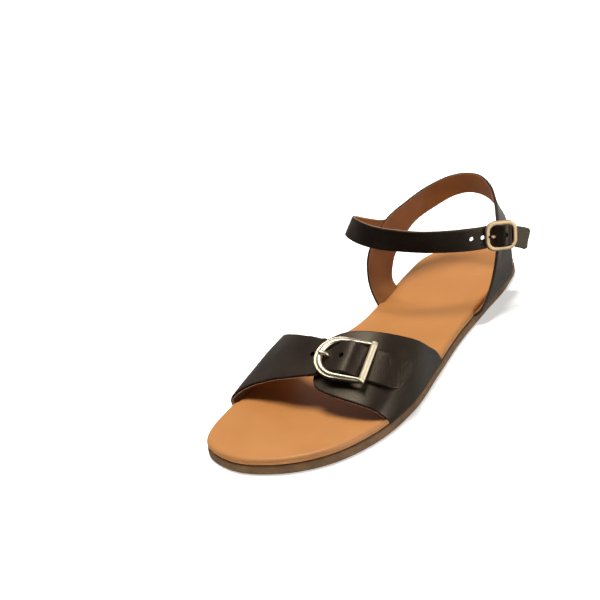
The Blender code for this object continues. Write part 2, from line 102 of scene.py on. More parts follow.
def start_material(name):
    """A new material, its node tree and shader, and the place on the object."""
    made = bpy.data.materials.new(name)
    made.use_nodes = True
    tree = made.node_tree
    place = node(tree, "ShaderNodeTexCoord", {}, {}).outputs["Object"]
    return made, tree, tree.nodes["Principled BSDF"], place


print("dark brown in linear light:", [round(v, 4) for v in colour("#2b211c")])

# %% [markdown]
# ## Leather
#
# Leather is skin: a net of tiny plump cells with pores between them, dyed unevenly and buffed to a
# soft sheen. Voronoi cells give the net and a finer noise gives the pores. Both go into the surface
# as bump, because they are far too shallow to model. A slow noise moves the dye between two tones.

# %% Leather recipe
def leather(name, tones, grain_mm, grain_depth_mm, roughness, blotch_mm):
    """Leather between two tones, with its grain and pores as bump."""
    made, tree, shader, place = start_material(name)
    blotch = node(
        tree, "ShaderNodeTexNoise",
        {"Scale": per_metre(blotch_mm), "Detail": 4.0, "Roughness": 0.55}, {"Vector": place},
    )
    dye = node(tree, "ShaderNodeValToRGB", {}, {"Fac": blotch.outputs["Fac"]})
    dye.color_ramp.elements[0].position = 0.3
    dye.color_ramp.elements[0].color = colour(tones[0])
    dye.color_ramp.elements[1].position = 0.72
    dye.color_ramp.elements[1].color = colour(tones[1])
    cells = node(
        tree, "ShaderNodeTexVoronoi",
        {"feature": "SMOOTH_F1", "Scale": per_metre(grain_mm), "Randomness": 0.9}, {"Vector": place},
    )
    pores = node(
        tree, "ShaderNodeTexNoise",
        {"Scale": per_metre(grain_mm * 0.45), "Detail": 3.0}, {"Vector": place},
    )
    buffed = node(
        tree, "ShaderNodeMapRange",
        {"From Min": 0.3, "From Max": 0.7, "To Min": roughness[0], "To Max": roughness[1]},
        {"Value": blotch.outputs["Fac"]},
    )
    net = node(
        tree, "ShaderNodeBump",
        {"Strength": 0.55, "Distance": grain_depth_mm * METRES_PER_MM, "invert": True},
        {"Height": cells.outputs["Distance"]},
    )
    skin = node(
        tree, "ShaderNodeBump",
        {"Strength": 0.6, "Distance": grain_depth_mm * 0.6 * METRES_PER_MM},
        {"Height": pores.outputs["Fac"], "Normal": net.outputs["Normal"]},
    )
    tree.links.new(dye.outputs["Color"], shader.inputs["Base Color"])
    tree.links.new(buffed.outputs["Result"], shader.inputs["Roughness"])
    tree.links.new(skin.outputs["Normal"], shader.inputs["Normal"])
    shader.inputs["IOR"].default_value = 1.5
    print("leather:", name, "with", grain_mm, "mm grain")
    return made, shader


# %% [markdown]
# Six leathers make the sandal. The straps are drum-dyed cowhide, near-black brown, with a buffed
# finish. Their cut edge is dyed too, but the lining below it stays pale and shows as a thin light
# line. The lining itself is vegetable-tanned and warm brown. The loops that hold the buckles have the
# strap hide's flesh side out. The footbed is a smoother tan hide with a light finish, so its rounded
# edge catches the light. They differ only in tone, grain and gloss, so one recipe serves them all.

# %% The six leathers
WARM_SHEEN = colour("#f3e2c4")

# Dyed and buffed: near black in the shade, with a soft grey-brown sheen where it turns to the light.
# Real grain is about 0.3 mm wide. It is drawn at 1 mm, because it would be too fine to show.
STRAP_HIDE, shader = leather("drum_dyed_cowhide", ("#1d1412", "#281f1b"), 1.0, 0.13, (0.32, 0.41), 16)
shader.inputs["Specular IOR Level"].default_value = 0.45
shader.inputs["Specular Tint"].default_value = WARM_SHEEN

# Cut with a knife and dyed: a dull dark line round the straps.
DYED_EDGE, _ = leather("dyed_cut_edge", ("#140d0a", "#261a14"), 0.5, 0.08, (0.65, 0.8), 4)

# The rough back of the hide: it swallows the light, so the loops stay dark under the straps.
FLESH_SIDE, shader = leather("dyed_flesh_side", ("#120b09", "#1d1410"), 0.6, 0.08, (0.8, 0.9), 6)
shader.inputs["Specular IOR Level"].default_value = 0.02

# Raw cut of the lining: a pale, dry line under the dark one.
PALE_EDGE, _ = leather("pale_lining_edge", ("#b98a66", "#d9b394"), 0.5, 0.08, (0.65, 0.8), 3)

# Tanned with bark and left bare: warm brown and nearly matt.
LINING_HIDE, shader = leather(
    "vegetable_tanned_lining", ("#965f30", "#a76d39"), 0.8, 0.03, (0.5, 0.62), 22
)
shader.inputs["Specular IOR Level"].default_value = 0.3

# Smoothed and sealed: an even tan with a light gloss over it.
FOOTBED_HIDE, shader = leather(
    "finished_tan_hide", ("#b67a43", "#bf834b"), 0.7, 0.018, (0.36, 0.46), 34
)
shader.inputs["Specular IOR Level"].default_value = 0.35
shader.inputs["Coat Weight"].default_value = 0.1
shader.inputs["Coat Roughness"].default_value = 0.3

# %% [markdown]
# ## Rubber, plated metal and thread
#
# The outsole is moulded rubber: matt, slightly mottled, with a fine moulded grit. The buckles are
# cast zinc with a pale gold plating in three finishes: polished on the front frame, hatched on its
# bar and satin on the ankle buckle. Almost all of their look comes from what they reflect, so a faint
# noise in the roughness is enough to stop them from looking like a mirror. The thread is twisted
# polyester.

# %% Rubber
# Moulded: no gloss, only cloudy tones, and a grit that breaks up the light. Real grit is about 0.2 mm
# wide. It is drawn at 0.6 mm, because it would be too fine to show.
RUBBER, tree, shader, place = start_material("moulded_taupe_rubber")
mottle = node(tree, "ShaderNodeTexNoise", {"Scale": per_metre(9), "Detail": 5.0}, {"Vector": place})
grit = node(tree, "ShaderNodeTexNoise", {"Scale": per_metre(0.6), "Detail": 2.0}, {"Vector": place})
tone = node(tree, "ShaderNodeValToRGB", {}, {"Fac": mottle.outputs["Fac"]})
tone.color_ramp.elements[0].position = 0.32
tone.color_ramp.elements[0].color = colour("#6f5335")
tone.color_ramp.elements[1].position = 0.7
tone.color_ramp.elements[1].color = colour("#866540")
rough = node(
    tree, "ShaderNodeBump", {"Strength": 0.5, "Distance": 0.06 * METRES_PER_MM},
    {"Height": grit.outputs["Fac"]},
)
tree.links.new(tone.outputs["Color"], shader.inputs["Base Color"])
tree.links.new(rough.outputs["Normal"], shader.inputs["Normal"])
shader.inputs["Roughness"].default_value = 0.62
shader.inputs["Specular IOR Level"].default_value = 0.3
print("rubber:", RUBBER.name)


# %% Plated metal
def plated(name, tone, grain_mm, detail, roughness):
    """Plated zinc, whose polish wavers between two roughnesses."""
    made, tree, shader, place = start_material(name)
    shader.inputs["Base Color"].default_value = colour(tone)
    shader.inputs["Metallic"].default_value = 1.0
    grain = node(
        tree, "ShaderNodeTexNoise", {"Scale": per_metre(grain_mm), "Detail": detail}, {"Vector": place}
    )
    polish = node(
        tree, "ShaderNodeMapRange", {"To Min": roughness[0], "To Max": roughness[1]},
        {"Value": grain.outputs["Fac"]},
    )
    tree.links.new(polish.outputs["Result"], shader.inputs["Roughness"])
    print("plated metal:", name)
    return made


# Polished: bright lines along the rims of the frame, a little hazy.
PLATING = plated("pale_gold_plated_zinc", "#e4d8c0", 2.5, 3.0, (0.34, 0.46))
# Tumbled to a satin: one even warm glow round the small frame.
SATIN = plated("satin_gold_plated_zinc", "#d6bd9a", 0.8, 2.0, (0.52, 0.66))
# Hatched: the strokes scatter the light, so the bar looks paler than the frame.
HATCHED = plated("hatched_gold_plated_zinc", "#ecdfc4", 0.7, 2.0, (0.44, 0.58))

# %% Thread
# Twisted from fine strands: a dull dark line, with painted highlights in bands where the turns of the
# twist would catch the light. Real turns are about 0.5 mm long. They are drawn at 0.9 mm, because they
# would be too fine to show.
THREAD, tree, shader, place = start_material("polyester_thread")
twist = node(
    tree, "ShaderNodeTexWave", {"Scale": per_metre(0.9), "Distortion": 0.6}, {"Vector": place}
)
shade = node(tree, "ShaderNodeValToRGB", {}, {"Fac": twist.outputs["Fac"]})
shade.color_ramp.elements[0].color = colour("#191210")
shade.color_ramp.elements[1].color = colour("#3a2f28")
tree.links.new(shade.outputs["Color"], shader.inputs["Base Color"])
shader.inputs["Roughness"].default_value = 0.7
print("thread:", THREAD.name)

# %% [markdown]
# ## Curves and meshes
#
# Every shape here starts from a short table of places on the real shoe. A smooth curve through the
# rows of a table fills in the rest: a Hermite curve keeps to each row exactly, where a spline with
# handles would need them set by hand. Points and faces then become a mesh, shifted so that the
# sandal's own origin is in the middle of its width.

# %% Curve helpers
def unit(vector):
    """The vector, or each vector of an array, with length 1."""
    vector = np.asarray(vector, float)
    return vector / np.linalg.norm(vector, axis=-1, keepdims=True)


def lengths(points):
    """Distance travelled at each of the points."""
    steps = np.linalg.norm(np.diff(points, axis=0), axis=1)
    return np.concatenate([[0.0], np.cumsum(steps)])


def flow(knots, values, at):
    """Smooth curve through the values at the knots, read at other places."""
    knots = np.asarray(knots, float)
    values = np.asarray(values, float).reshape(len(knots), -1)
    at = np.clip(np.asarray(at, float), knots[0], knots[-1])
    slopes = np.gradient(values, knots, axis=0)
    left = np.clip(np.searchsorted(knots, at, side="right") - 1, 0, len(knots) - 2)
    span = (knots[left + 1] - knots[left])[..., None]
    s = (at - knots[left])[..., None] / span
    ends = (1 + 2 * s) * (1 - s) ** 2 * values[left] + s**2 * (3 - 2 * s) * values[left + 1]
    bend = s * (1 - s) ** 2 * slopes[left] - s**2 * (1 - s) * slopes[left + 1]
    return ends + span * bend


def column(rows, first, last=None):
    """One value, or a run of values, from each row."""
    return [row[first] if last is None else row[first:last] for row in rows]


print("half way along a curve through 0, 1, 0:", flow((0, 1, 2), (0, 1, 0), (0.5, 1.5)).ravel())


# %% Mesh helpers
def make_piece(name, points, faces, looks, slots=None):
    """Mesh object in metres; slots gives each face the number of its material."""
    mesh = bpy.data.meshes.new(name)
    shifted = (np.asarray(points, float) - (ORIGIN_X, 0, 0)) * METRES_PER_MM
    mesh.from_pydata(shifted.tolist(), [], [tuple(int(i) for i in face) for face in faces])
    for look in looks:
        mesh.materials.append(look)
    if slots is not None:
        mesh.polygons.foreach_set("material_index", list(slots))
    shape = bmesh.new()
    shape.from_mesh(mesh)
    bmesh.ops.remove_doubles(shape, verts=shape.verts, dist=1e-7)
    bmesh.ops.recalc_face_normals(shape, faces=shape.faces)
    for face in shape.faces:
        face.smooth = True
    shape.to_mesh(mesh)
    shape.free()
    piece = bpy.data.objects.new(name, mesh)
    bpy.context.scene.collection.objects.link(piece)
    return piece


def wear(piece, solid):
    """The piece rides on the sandal's root and stands for a solid, which is hidden."""
    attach(piece, "root")
    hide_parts(solid)
    print(piece.name, len(piece.data.polygons), "faces for", solid)


def sharpen(piece, degrees):
    """Creases the shading where faces meet at more than this angle."""
    piece.data.set_sharp_from_angle(angle=math.radians(degrees))


def ring_faces(first, second):
    """Faces between two rings of point numbers."""
    count = len(first)
    return [
        (first[i], first[(i + 1) % count], second[(i + 1) % count], second[i]) for i in range(count)
    ]


def stack(ring_count, size, first=0):
    """Rings of point numbers one after the other, and the faces between them."""
    numbers = (first + np.arange(ring_count * size)).reshape(ring_count, size).tolist()
    faces = []
    for low, high in zip(numbers, numbers[1:]):
        faces += ring_faces(low, high)
    return numbers, faces


print("faces on two rings of three points:", stack(2, 3)[1])

# %% [markdown]
# ## Outline of the sole
#
# The sole's edge is the one line that everything else is measured from. Twenty places round it are
# enough for a smooth outline. The two sides are then read at the same places along the foot, so that
# an inner point always has an outer partner.

# %% Sole outline
# Places round the edge, from the heel down the inner side and back up the outer side.
SOLE_EDGE = (
    (-2, 126), (-19, 120), (-30, 101), (-30, 78), (-26, 42), (-25, 11), (-38, -29),
    (-43, -55), (-44, -82), (-33, -120), (-14, -126), (10, -120), (30, -104), (43, -77),
    (46, -49), (41, -12), (35.4, 25), (33, 60), (30.8, 93), (23.9, 116),
)
SOLE_STATIONS = 150
EDGE_POINTS = 1200


def closed_edge():
    """Smooth closed loop through the places of the sole's edge."""
    rows = np.array(SOLE_EDGE, float)
    wrap = 3
    padded = np.concatenate([rows[-wrap:], rows, rows[: wrap + 1]])
    knots = lengths(padded)
    at = np.linspace(knots[wrap], knots[wrap + len(rows)], EDGE_POINTS, endpoint=False)
    return flow(knots, padded, at)


EDGE = closed_edge()
TOE = int(EDGE[:, 1].argmin())
HEEL = int(EDGE[:, 1].argmax())


def sole_side(y, outer):
    """x of the sole's edge at a place along it, on the outer or the inner side."""
    turned = np.roll(EDGE, -TOE, axis=0)
    split = (HEEL - TOE) % len(EDGE)
    half = turned[: split + 1] if outer else turned[split:][::-1]
    return np.interp(y, half[:, 1], half[:, 0])


def outline(stops=()):
    """Loop from the heel down the inner side and back up the outer side, with extra stops along it."""
    low, high = EDGE[TOE], EDGE[HEEL]
    turn = np.linspace(0.0, math.pi, SOLE_STATIONS + 2)[1:-1]
    y = (low[1] + high[1]) / 2 + (high[1] - low[1]) / 2 * np.cos(turn)
    y = np.sort(np.concatenate([y, stops]))[::-1]
    inner = np.stack([sole_side(y, False), y], axis=1)
    outer = np.stack([sole_side(y, True), y], axis=1)
    return np.concatenate([[high], inner, [low], outer[::-1]])


def inset(loop, distance):
    """The loop drawn in by one distance, or by one for each point."""
    tangent = unit(np.roll(loop, -1, axis=0) - np.roll(loop, 1, axis=0))
    outward = np.stack([tangent[:, 1], -tangent[:, 0]], axis=1)
    return loop - outward * np.reshape(distance, (-1, 1))


print("sole", round(EDGE[HEEL, 1] - EDGE[TOE, 1], 1), "mm long")

# %% [markdown]
# ## Outsole
#
# A flat sandal's outsole is one slab of rubber about 5 mm thick, cut or moulded to the outline, with
# a softened upper and lower rim. Stacked rings of the outline give both rims. Underneath, the rubber
# is recessed inside a border and carries straight cross ribs, so that the sole grips: they are
# separate bars let into the recess, which is simpler than cutting grooves.

# %% Outsole
OUTSOLE_THICK = 5.4
# Rings from the recess underneath up to the top: distance in from the edge, and height.
OUTSOLE_RINGS = (
    (7.4, 0.9), (6.6, 0.85), (6.3, 0.0), (1.5, 0.0), (0.95, 0.08), (0.5, 0.3), (0.18, 0.65),
    (0.02, 1.2), (0.0, 2.2), (0.0, 3.6), (0.05, 4.4), (0.22, 4.95), (0.55, 5.25),
    (1.1, OUTSOLE_THICK), (5.0, OUTSOLE_THICK),
)

loop = outline()
points = []
for distance, height in OUTSOLE_RINGS:
    ring = inset(loop, distance)
    points.append(np.column_stack([ring, np.full(len(ring), height)]))
numbers, sides = stack(len(points), len(loop))
faces = [numbers[0][::-1], numbers[-1], *sides]
outsole = make_piece("outsole_rubber", np.concatenate(points), faces, [RUBBER])
sharpen(outsole, 50)
wear(outsole, "outsole")

# %% Tread ribs
RIB_PITCH = 4.2
RIB_HALF = 1.25
# Section of a rib: distance along the sole from its middle, and height.
RIB_PROFILE = (
    (-RIB_HALF, 1.0), (-RIB_HALF, 0.35), (-RIB_HALF + 0.35, 0.02), (RIB_HALF - 0.35, 0.02),
    (RIB_HALF, 0.35), (RIB_HALF, 1.0),
)
# Where the ribs stop: distances from the toe, the heel and the sides.
TREAD_TOE = 12
TREAD_HEEL = 11
TREAD_SIDE = 7.2

points, faces = [], []
for y in np.arange(EDGE[TOE, 1] + TREAD_TOE, EDGE[HEEL, 1] - TREAD_HEEL, RIB_PITCH):
    numbers, sides = stack(2, len(RIB_PROFILE), len(points))
    faces += [numbers[0][::-1], numbers[1], *sides]
    left = max(sole_side(y + s, False) for s in (-RIB_HALF, RIB_HALF)) + TREAD_SIDE
    right = min(sole_side(y + s, True) for s in (-RIB_HALF, RIB_HALF)) - TREAD_SIDE
    for x in (left, right):
        points += [(x, y + across, height) for across, height in RIB_PROFILE]
ribs = make_piece("outsole_ribs", points, faces, [RUBBER])
sharpen(ribs, 30)
wear(ribs, "outsole")

# %% [markdown]
# ## Footbed
#
# The footbed is a foam board wrapped in tan hide, so its top edge is round like a cushion's. It is
# nearly flat at the toe, rises a little under the arch and is hollowed under the heel. Rings of the
# outline again give the round edge, and rings drawn in towards a middle line carry the contour, which
# a bevelled slab would not have. Where a strap goes down to the outsole, the footbed steps in to make
# room for it.

# %% Footbed's shape
GAP = 0.3
FOOTBED_EDGE = 3.7
# Rings of the round edge: distance in from the sole's edge, and height.
FOOTBED_RINGS = (
    (1.0, 0.0), (0.55, 0.5), (0.35, 1.4), (0.55, 2.5), (1.3, 3.3), (2.6, FOOTBED_EDGE),
)
ROUND_STEPS = 19
# Shares of the way from the rim to the middle line.
FOOTBED_SHARES = (0.03, 0.07, 0.12, 0.2, 0.3, 0.42, 0.55, 0.68, 0.8, 0.9, 1.0)
# Contour: place along the sole, and rise at the inner side, in the middle and at the outer side.
FOOTBED_CONTOUR = (
    (-126, 0.0, 0.0, 0.0), (-60, 0.2, 0.1, 0.2), (-10, 0.6, 0.5, 0.4), (15, 1.5, 0.8, 0.5),
    (45, 0.9, -0.1, 0.3), (85, 0.5, -0.9, 0.5), (126, 0.3, 0.2, 0.3),
)
# Straps' feet: their ends along the sole, on the outer side (1) or the inner side (-1), and the
# room that each end takes.
STRAP_FEET = (
    (-68.5, -4.6, 1, 1.7, 1.7), (-83.4, -22.1, -1, 1.7, 1.7),
    (44.2, 89.0, 1, 0.8, 1.5), (38.0, 63.2, -1, 1.7, 1.7),
)
FOOT_STEP = 2.5
# The raised sides: how fast they rise from the rim, and how much of their height they reach.
SHOULDER_RATE = 1.6
SHOULDER_SHARE = 0.6


def strap_room(loop, side):
    """How far the footbed steps in at each point of its loop."""
    room = np.zeros(len(loop))
    for low, high, foot_side, low_room, high_room in STRAP_FEET:
        within = np.minimum(loop[:, 1] - low, high - loop[:, 1])
        step = np.clip(within / FOOT_STEP, 0, 1)
        foot_room = np.interp(loop[:, 1], (low, high), (low_room, high_room))
        room = np.maximum(room, np.where(side == foot_side, step * foot_room, 0))
    return room


stops = []
for low, high, *_ in STRAP_FEET:
    for step in (0.0, 1.2, FOOT_STEP):
        stops += [low + step, high - step]
print("the footbed steps in for", len(STRAP_FEET), "feet of straps")

# %% Footbed
loop = outline(stops)
count = len(loop)
half = count // 2 - 1
side_of = np.where(np.arange(count) <= half, -1, 1)
room = strap_room(loop, side_of)
base = OUTSOLE_THICK + GAP / 2
knots = np.arange(len(FOOTBED_RINGS))
rings = flow(knots, FOOTBED_RINGS, np.linspace(0, knots[-1], ROUND_STEPS))
points = []
for distance, height in rings:
    ring = inset(loop, distance + room)
    points.append(np.column_stack([ring, np.full(count, base + height)]))
rim = points[-1]
partner = np.array([0, *range(count - 1, half + 1, -1), half + 1, *range(half, 0, -1)])
middle = (rim + rim[partner]) / 2
middle[0] = middle[1]
middle[half + 1] = middle[half]
rise = flow(column(FOOTBED_CONTOUR, 0), column(FOOTBED_CONTOUR, 1, 4), middle[:, 1])
side = np.where(side_of < 0, rise[:, 0], rise[:, 2])
for share in FOOTBED_SHARES:
    ring = rim * (1 - share) + middle * share
    eased = math.sin(math.pi / 2 * share)
    shoulder = math.sin(math.pi * min(share * SHOULDER_RATE, 1.0))
    extra = (side - rise[:, 1]) * shoulder * SHOULDER_SHARE
    ring[:, 2] = base + FOOTBED_EDGE + rise[:, 1] * eased + extra
    points.append(ring)
numbers, sides = stack(len(points), count)
faces = [numbers[0][::-1], *sides]
footbed = make_piece("footbed_hide", np.concatenate(points), faces, [FOOTBED_HIDE])
sharpen(footbed, 70)
wear(footbed, "footbed")

# %% [markdown]
# ## How a strap is made
#
# A strap is two layers of leather glued together and cut out with a knife: dark hide outside, brown
# lining inside. A sheet with a Solidify modifier would give square edges of one colour. Here each
# strap is a close grid of points instead. Its rims are rounded by drawing the two faces towards each
# other over the last half millimetre, and the cut edge gets two bands of colour, as the layers have.
# Soft troughs and ridges, each a row of a small table, are pressed into the grid before that.

# %% Strap helpers
RIM_STEPS = np.array([0.0, 0.1, 0.26, 0.5, 0.9])
GRAIN_ROUND = 0.55
LINING_ROUND = 0.28
# Share of the cut edge that belongs to the pale lining.
PALE_SHARE = 0.34


def spread(length, count):
    """Places along a length: close together at both rims, even between them."""
    middle = np.linspace(RIM_STEPS[-1], length - RIM_STEPS[-1], count)[1:-1]
    return np.concatenate([RIM_STEPS, middle, length - RIM_STEPS[::-1]])


def spread_shares(widths, count):
    """Places across each of the widths, as shares of it."""
    return np.array([spread(width, count) / width for width in widths])


def drawn_in(rim, reach):
    """How far a rounded rim drops below its face, at a distance from the cut edge."""
    return reach * (1 - np.sqrt(1 - (1 - np.clip(rim / reach, 0, 1)) ** 2))


def folds(along, across, rows):
    """Height of soft ridges and troughs: a row gives both ends, half width and height, in mm."""
    total = np.zeros(along.shape)
    for a0, c0, a1, c1, half_width, height in rows:
        run = np.array([a1 - a0, c1 - c0])
        place = np.stack([along - a0, across - c0], axis=-1)
        share = np.clip((place @ run) / (run @ run), 0, 1)
        away = np.linalg.norm(place - share[..., None] * run, axis=-1)
        total += height * np.exp(-((away / half_width) ** 2))
    return total


def grid_normals(grid, outward):
    """Normals of a grid, on its outward side."""
    normal = unit(np.cross(np.gradient(grid, axis=0), np.gradient(grid, axis=1)))
    return normal * np.sign((normal * outward).sum(axis=-1).mean())


def strap_measures(grid):
    """Distances along and across a strap at each of its points."""
    along = lengths(grid[:, grid.shape[1] // 2])[:, None] * np.ones(grid.shape[:2])
    steps = np.linalg.norm(np.diff(grid, axis=1), axis=2)
    across = np.concatenate([np.zeros((len(grid), 1)), np.cumsum(steps, axis=1)], axis=1)
    return along, across


print("a strap's rim rounds off by", drawn_in(RIM_STEPS, GRAIN_ROUND).round(2), "mm")


# %% Strap pieces and cuts
STRAP_LOOKS = [STRAP_HIDE, DYED_EDGE, PALE_EDGE, LINING_HIDE]
HIDE, DYED, PALE, LINED = range(len(STRAP_LOOKS))


def strap_piece(name, grid, normal, thick, dyed_length=0.0):
    """A strap from its lining side; the first part of its cut edge may be dyed all the way down."""
    along, across = strap_measures(grid)
    rim = np.minimum(along, along[-1:] - along)
    rim = np.minimum(rim, np.minimum(across, across[:, -1:] - across))
    low = grid + normal * drawn_in(rim, LINING_ROUND)[..., None]
    top = grid + normal * (thick - drawn_in(rim, GRAIN_ROUND))[..., None]
    rows, columns = grid.shape[:2]
    lower = np.arange(rows * columns).reshape(rows, columns)
    upper = lower + rows * columns
    edge = [*lower[0, :-1], *lower[:-1, -1], *lower[-1, :0:-1], *lower[:0:-1, 0]]
    seam = list(range(2 * rows * columns, 2 * rows * columns + len(edge)))
    flat_low = low.reshape(-1, 3)
    flat_top = top.reshape(-1, 3)
    between = flat_low[edge] * (1 - PALE_SHARE) + flat_top[edge] * PALE_SHARE
    faces, slots = [], []
    for sheet, slot in ((lower, LINED), (upper, HIDE)):
        for i in range(rows - 1):
            for j in range(columns - 1):
                faces.append((sheet[i, j], sheet[i + 1, j], sheet[i + 1, j + 1], sheet[i, j + 1]))
                slots.append(slot)
    faces += ring_faces(edge, seam)
    slots += [DYED if along.reshape(-1)[n] < dyed_length else PALE for n in edge]
    faces += ring_faces(seam, [n + rows * columns for n in edge])
    slots += [DYED] * len(edge)
    points = np.concatenate([flat_low, flat_top, between])
    return make_piece(name, points, faces, STRAP_LOOKS, slots)


def cut(piece, cutter):
    """Takes the cutter out of the piece for good."""
    step = piece.modifiers.new("cut", "BOOLEAN")
    step.operation = "DIFFERENCE"
    step.solver = "EXACT"
    step.object = cutter
    graph = bpy.context.evaluated_depsgraph_get()
    mesh = bpy.data.meshes.new_from_object(piece.evaluated_get(graph))
    piece.modifiers.clear()
    old = piece.data
    piece.data = mesh
    bpy.data.meshes.remove(old)
    bpy.data.objects.remove(cutter)


print("layers of a strap:", [look.name for look in STRAP_LOOKS])

# %% [markdown]
# ## The instep
#
# Both front straps lie on one surface: the top of the forefoot. Across the foot it is a flattened
# arch, fuller on the inner side; along the foot its crown rises from the toes to the ankle. A strap
# row then only has to say how far round the arch it is, and where its two edges lie along the foot.

# %% Instep surface
STRAP_THICK = 1.8
SEAT = OUTSOLE_THICK + GAP
# Shape of the arch on both sides: how flat its roof is, and how far it swells outwards.
OUTER_ROOF = 1.8
INNER_ROOF = 1.36
OUTER_SWELL = 0.15
INNER_SWELL = 0.52
# The inner side bulges over the sole's edge and tucks in just above it.
INNER_BULGE = 2.9
TUCK = 0.05
# Places read on a curve when one of them is looked up.
LOOKUP = 400
# The top of the foot, in degrees round the arch.
TOP_TURNS = (4, 150)
# Crown of the instep: place along the sole, height above the straps' seat.
INSTEP = (
    (-100, 7), (-80, 12.8), (-73, 16.3), (-60, 23.3), (-50, 29.3), (-40, 34.3), (-25, 41.3),
    (0, 47),
)


def instep(turn, y):
    """Point on top of the foot, at a turn in degrees and a place along the foot."""
    outer = sole_side(y, True) - STRAP_THICK
    inner = sole_side(y, False) + STRAP_THICK
    across = np.cos(np.radians(turn))
    swell = np.where(across > 0, OUTER_SWELL, INNER_SWELL) * (1 - across**2)
    rise = flow(column(INSTEP, 0), column(INSTEP, 1), y)[..., 0]
    x = (outer + inner) / 2 + (outer - inner) / 2 * across * (1 + swell)
    tucked = 1 - np.clip((1 - np.abs(across)) / TUCK, 0, 1)
    bulge = INNER_BULGE * across**2 * np.sqrt(1 - tucked**2)
    x = x - np.where(across < 0, bulge, 0.0)
    power = np.where(across > 0, OUTER_ROOF, INNER_ROOF)
    z = SEAT + rise * np.sqrt(np.maximum(1 - np.abs(across) ** power, 0.0))
    return np.stack([x, y, z], axis=-1)


def instep_normal(turn, y):
    """Direction out of the foot at that point."""
    step = 0.05
    turn = np.clip(turn, step, 180 - step)
    round_foot = instep(turn + step, y) - instep(turn - step, y)
    along_foot = instep(turn, y + step) - instep(turn, y - step)
    return unit(np.cross(round_foot, along_foot) * -1)


def instep_turn(x, y):
    """How far round the arch a place in plan is, in degrees from the outer side."""
    turns = np.linspace(*TOP_TURNS, LOOKUP)
    places = instep(turns, np.full(len(turns), float(y)))[:, 0]
    return np.interp(-x, -places, turns)


def front_grid(rows, along_count, across_count):
    """Close grid on the instep: a row gives turn and place of the front and the rear edge, and lift."""
    table = np.array(rows, float)
    index = np.arange(len(rows))
    fine = np.linspace(0, len(rows) - 1, LOOKUP)
    read = flow(index, table, fine)
    front = instep(np.clip(read[:, 0], 0, 180), read[:, 1])
    rear = instep(np.clip(read[:, 2], 0, 180), read[:, 3])
    travelled = lengths((front + rear) / 2)
    at = np.interp(spread(travelled[-1], along_count), travelled, fine)
    read = flow(index, table, at)
    width = np.interp(at, fine, np.linalg.norm(front - rear, axis=1))
    share = spread_shares(width, across_count)
    turn = np.clip(read[:, 0:1] * (1 - share) + read[:, 2:3] * share, 0, 180)
    y = read[:, 1:2] * (1 - share) + read[:, 3:4] * share
    normal = instep_normal(turn, y)
    return instep(turn, y) + normal * read[:, 4][:, None, None], normal


def straight_rows(rows):
    """Rows whose front and rear edge have the same turn."""
    return [(turn, front, turn, rear, lift) for turn, front, rear, lift in rows]


print("crown of the instep:", column(INSTEP, 1), "mm above the seat")

# %% [markdown]
# ## Outer front strap
#
# This strap starts at the outer edge of the sole, widest there, and ends in a round nose on top of the
# foot, under the buckle. A few long, shallow waves keep it from looking like sheet metal.

# %% Outer front strap
# From the sole up: turn round the instep, places of the front and the rear edge, and lift.
OUTER_STRAP = (
    (0, -68.4, -4.8, 0), (10, -69.6, -9, 0), (20, -71, -15.6, 0), (32, -72.3, -22.8, 0),
    (41, -73.5, -27.9, 0), (50, -74.3, -32, 0), (60, -75, -35.7, 0), (70, -75.1, -38.9, 0),
    (78, -74.6, -41.5, 0), (83.4, -73.2, -43.8, 0), (86.3, -70.8, -45.5, 0), (88.6, -67, -47, 0),
    (91, -64, -48.9, 0), (94, -61, -51, 0), (97, -58.5, -53, 0), (99, -56.5, -55, 0),
)
OUTER_FOLDS = (
    (8, 20, 14, 60, 5, -0.25), (20, 4, 34, 10, 6, 0.25), (14, 2, 24, 40, 4, 0.2),
    (30, 26, 44, 22, 4, -0.2),
)
# Points of the grid along and across the strap.
OUTER_GRID = (90, 60)

grid, normal = front_grid(straight_rows(OUTER_STRAP), *OUTER_GRID)
along, across = strap_measures(grid)
grid = grid + normal * folds(along, across, OUTER_FOLDS)[..., None]
outer_strap = strap_piece("outer_front_strap", grid, normal, STRAP_THICK)
wear(outer_strap, "front_strap_outer")

# %% [markdown]
# ## Where the front buckle sits
#
# The buckle rests on the inner strap, which passes under both of its end bars and humps over the
# centre bar between them. So the buckle's own directions come before that strap: along it (u),
# across it (v) and out of it (n), from two points on the instep that are as far apart as the frame is
# long.

# %% Front buckle seat
# Place of the buckle in plan, and a short step across it.
D_PLACE = (14.6, -57.2)
D_ACROSS = (-0.115, 0.897)
D_HALF_LENGTH = 13.8
D_HALF_WIDTH = 11.3
D_BAR = 1.75
# The frame lies flatter than the sloping instep: its toe side and its round end stand off the strap.
D_TILT = (8.0, 2.7)
# Rounds that bring the seat's ends one frame length apart.
SEAT_ROUNDS = 4
OVER = STRAP_THICK + GAP


class Seat:
    """A buckle's own directions: along its strap, across it and out of it."""

    def __init__(self, start, end, across):
        self.origin = (start + end) / 2
        self.u = unit(end - start)
        self.v = unit(across - self.u * np.dot(across, self.u))
        self.n = np.cross(self.u, self.v)

    def point(self, u, v, n):
        return self.origin + self.u * u + self.v * v + self.n * n

    def tilted(self, sideways, endways, reach):
        """The seat tilted in degrees: rear side down, and far end up about its bar at that reach."""
        side, end = math.radians(sideways), math.radians(endways)
        bar = self.origin + self.u * reach
        ahead = self.u * math.cos(end) - self.n * math.sin(end)
        across = self.v * math.cos(side) - self.n * math.sin(side)
        return Seat(bar - ahead * 2 * reach, bar, across)


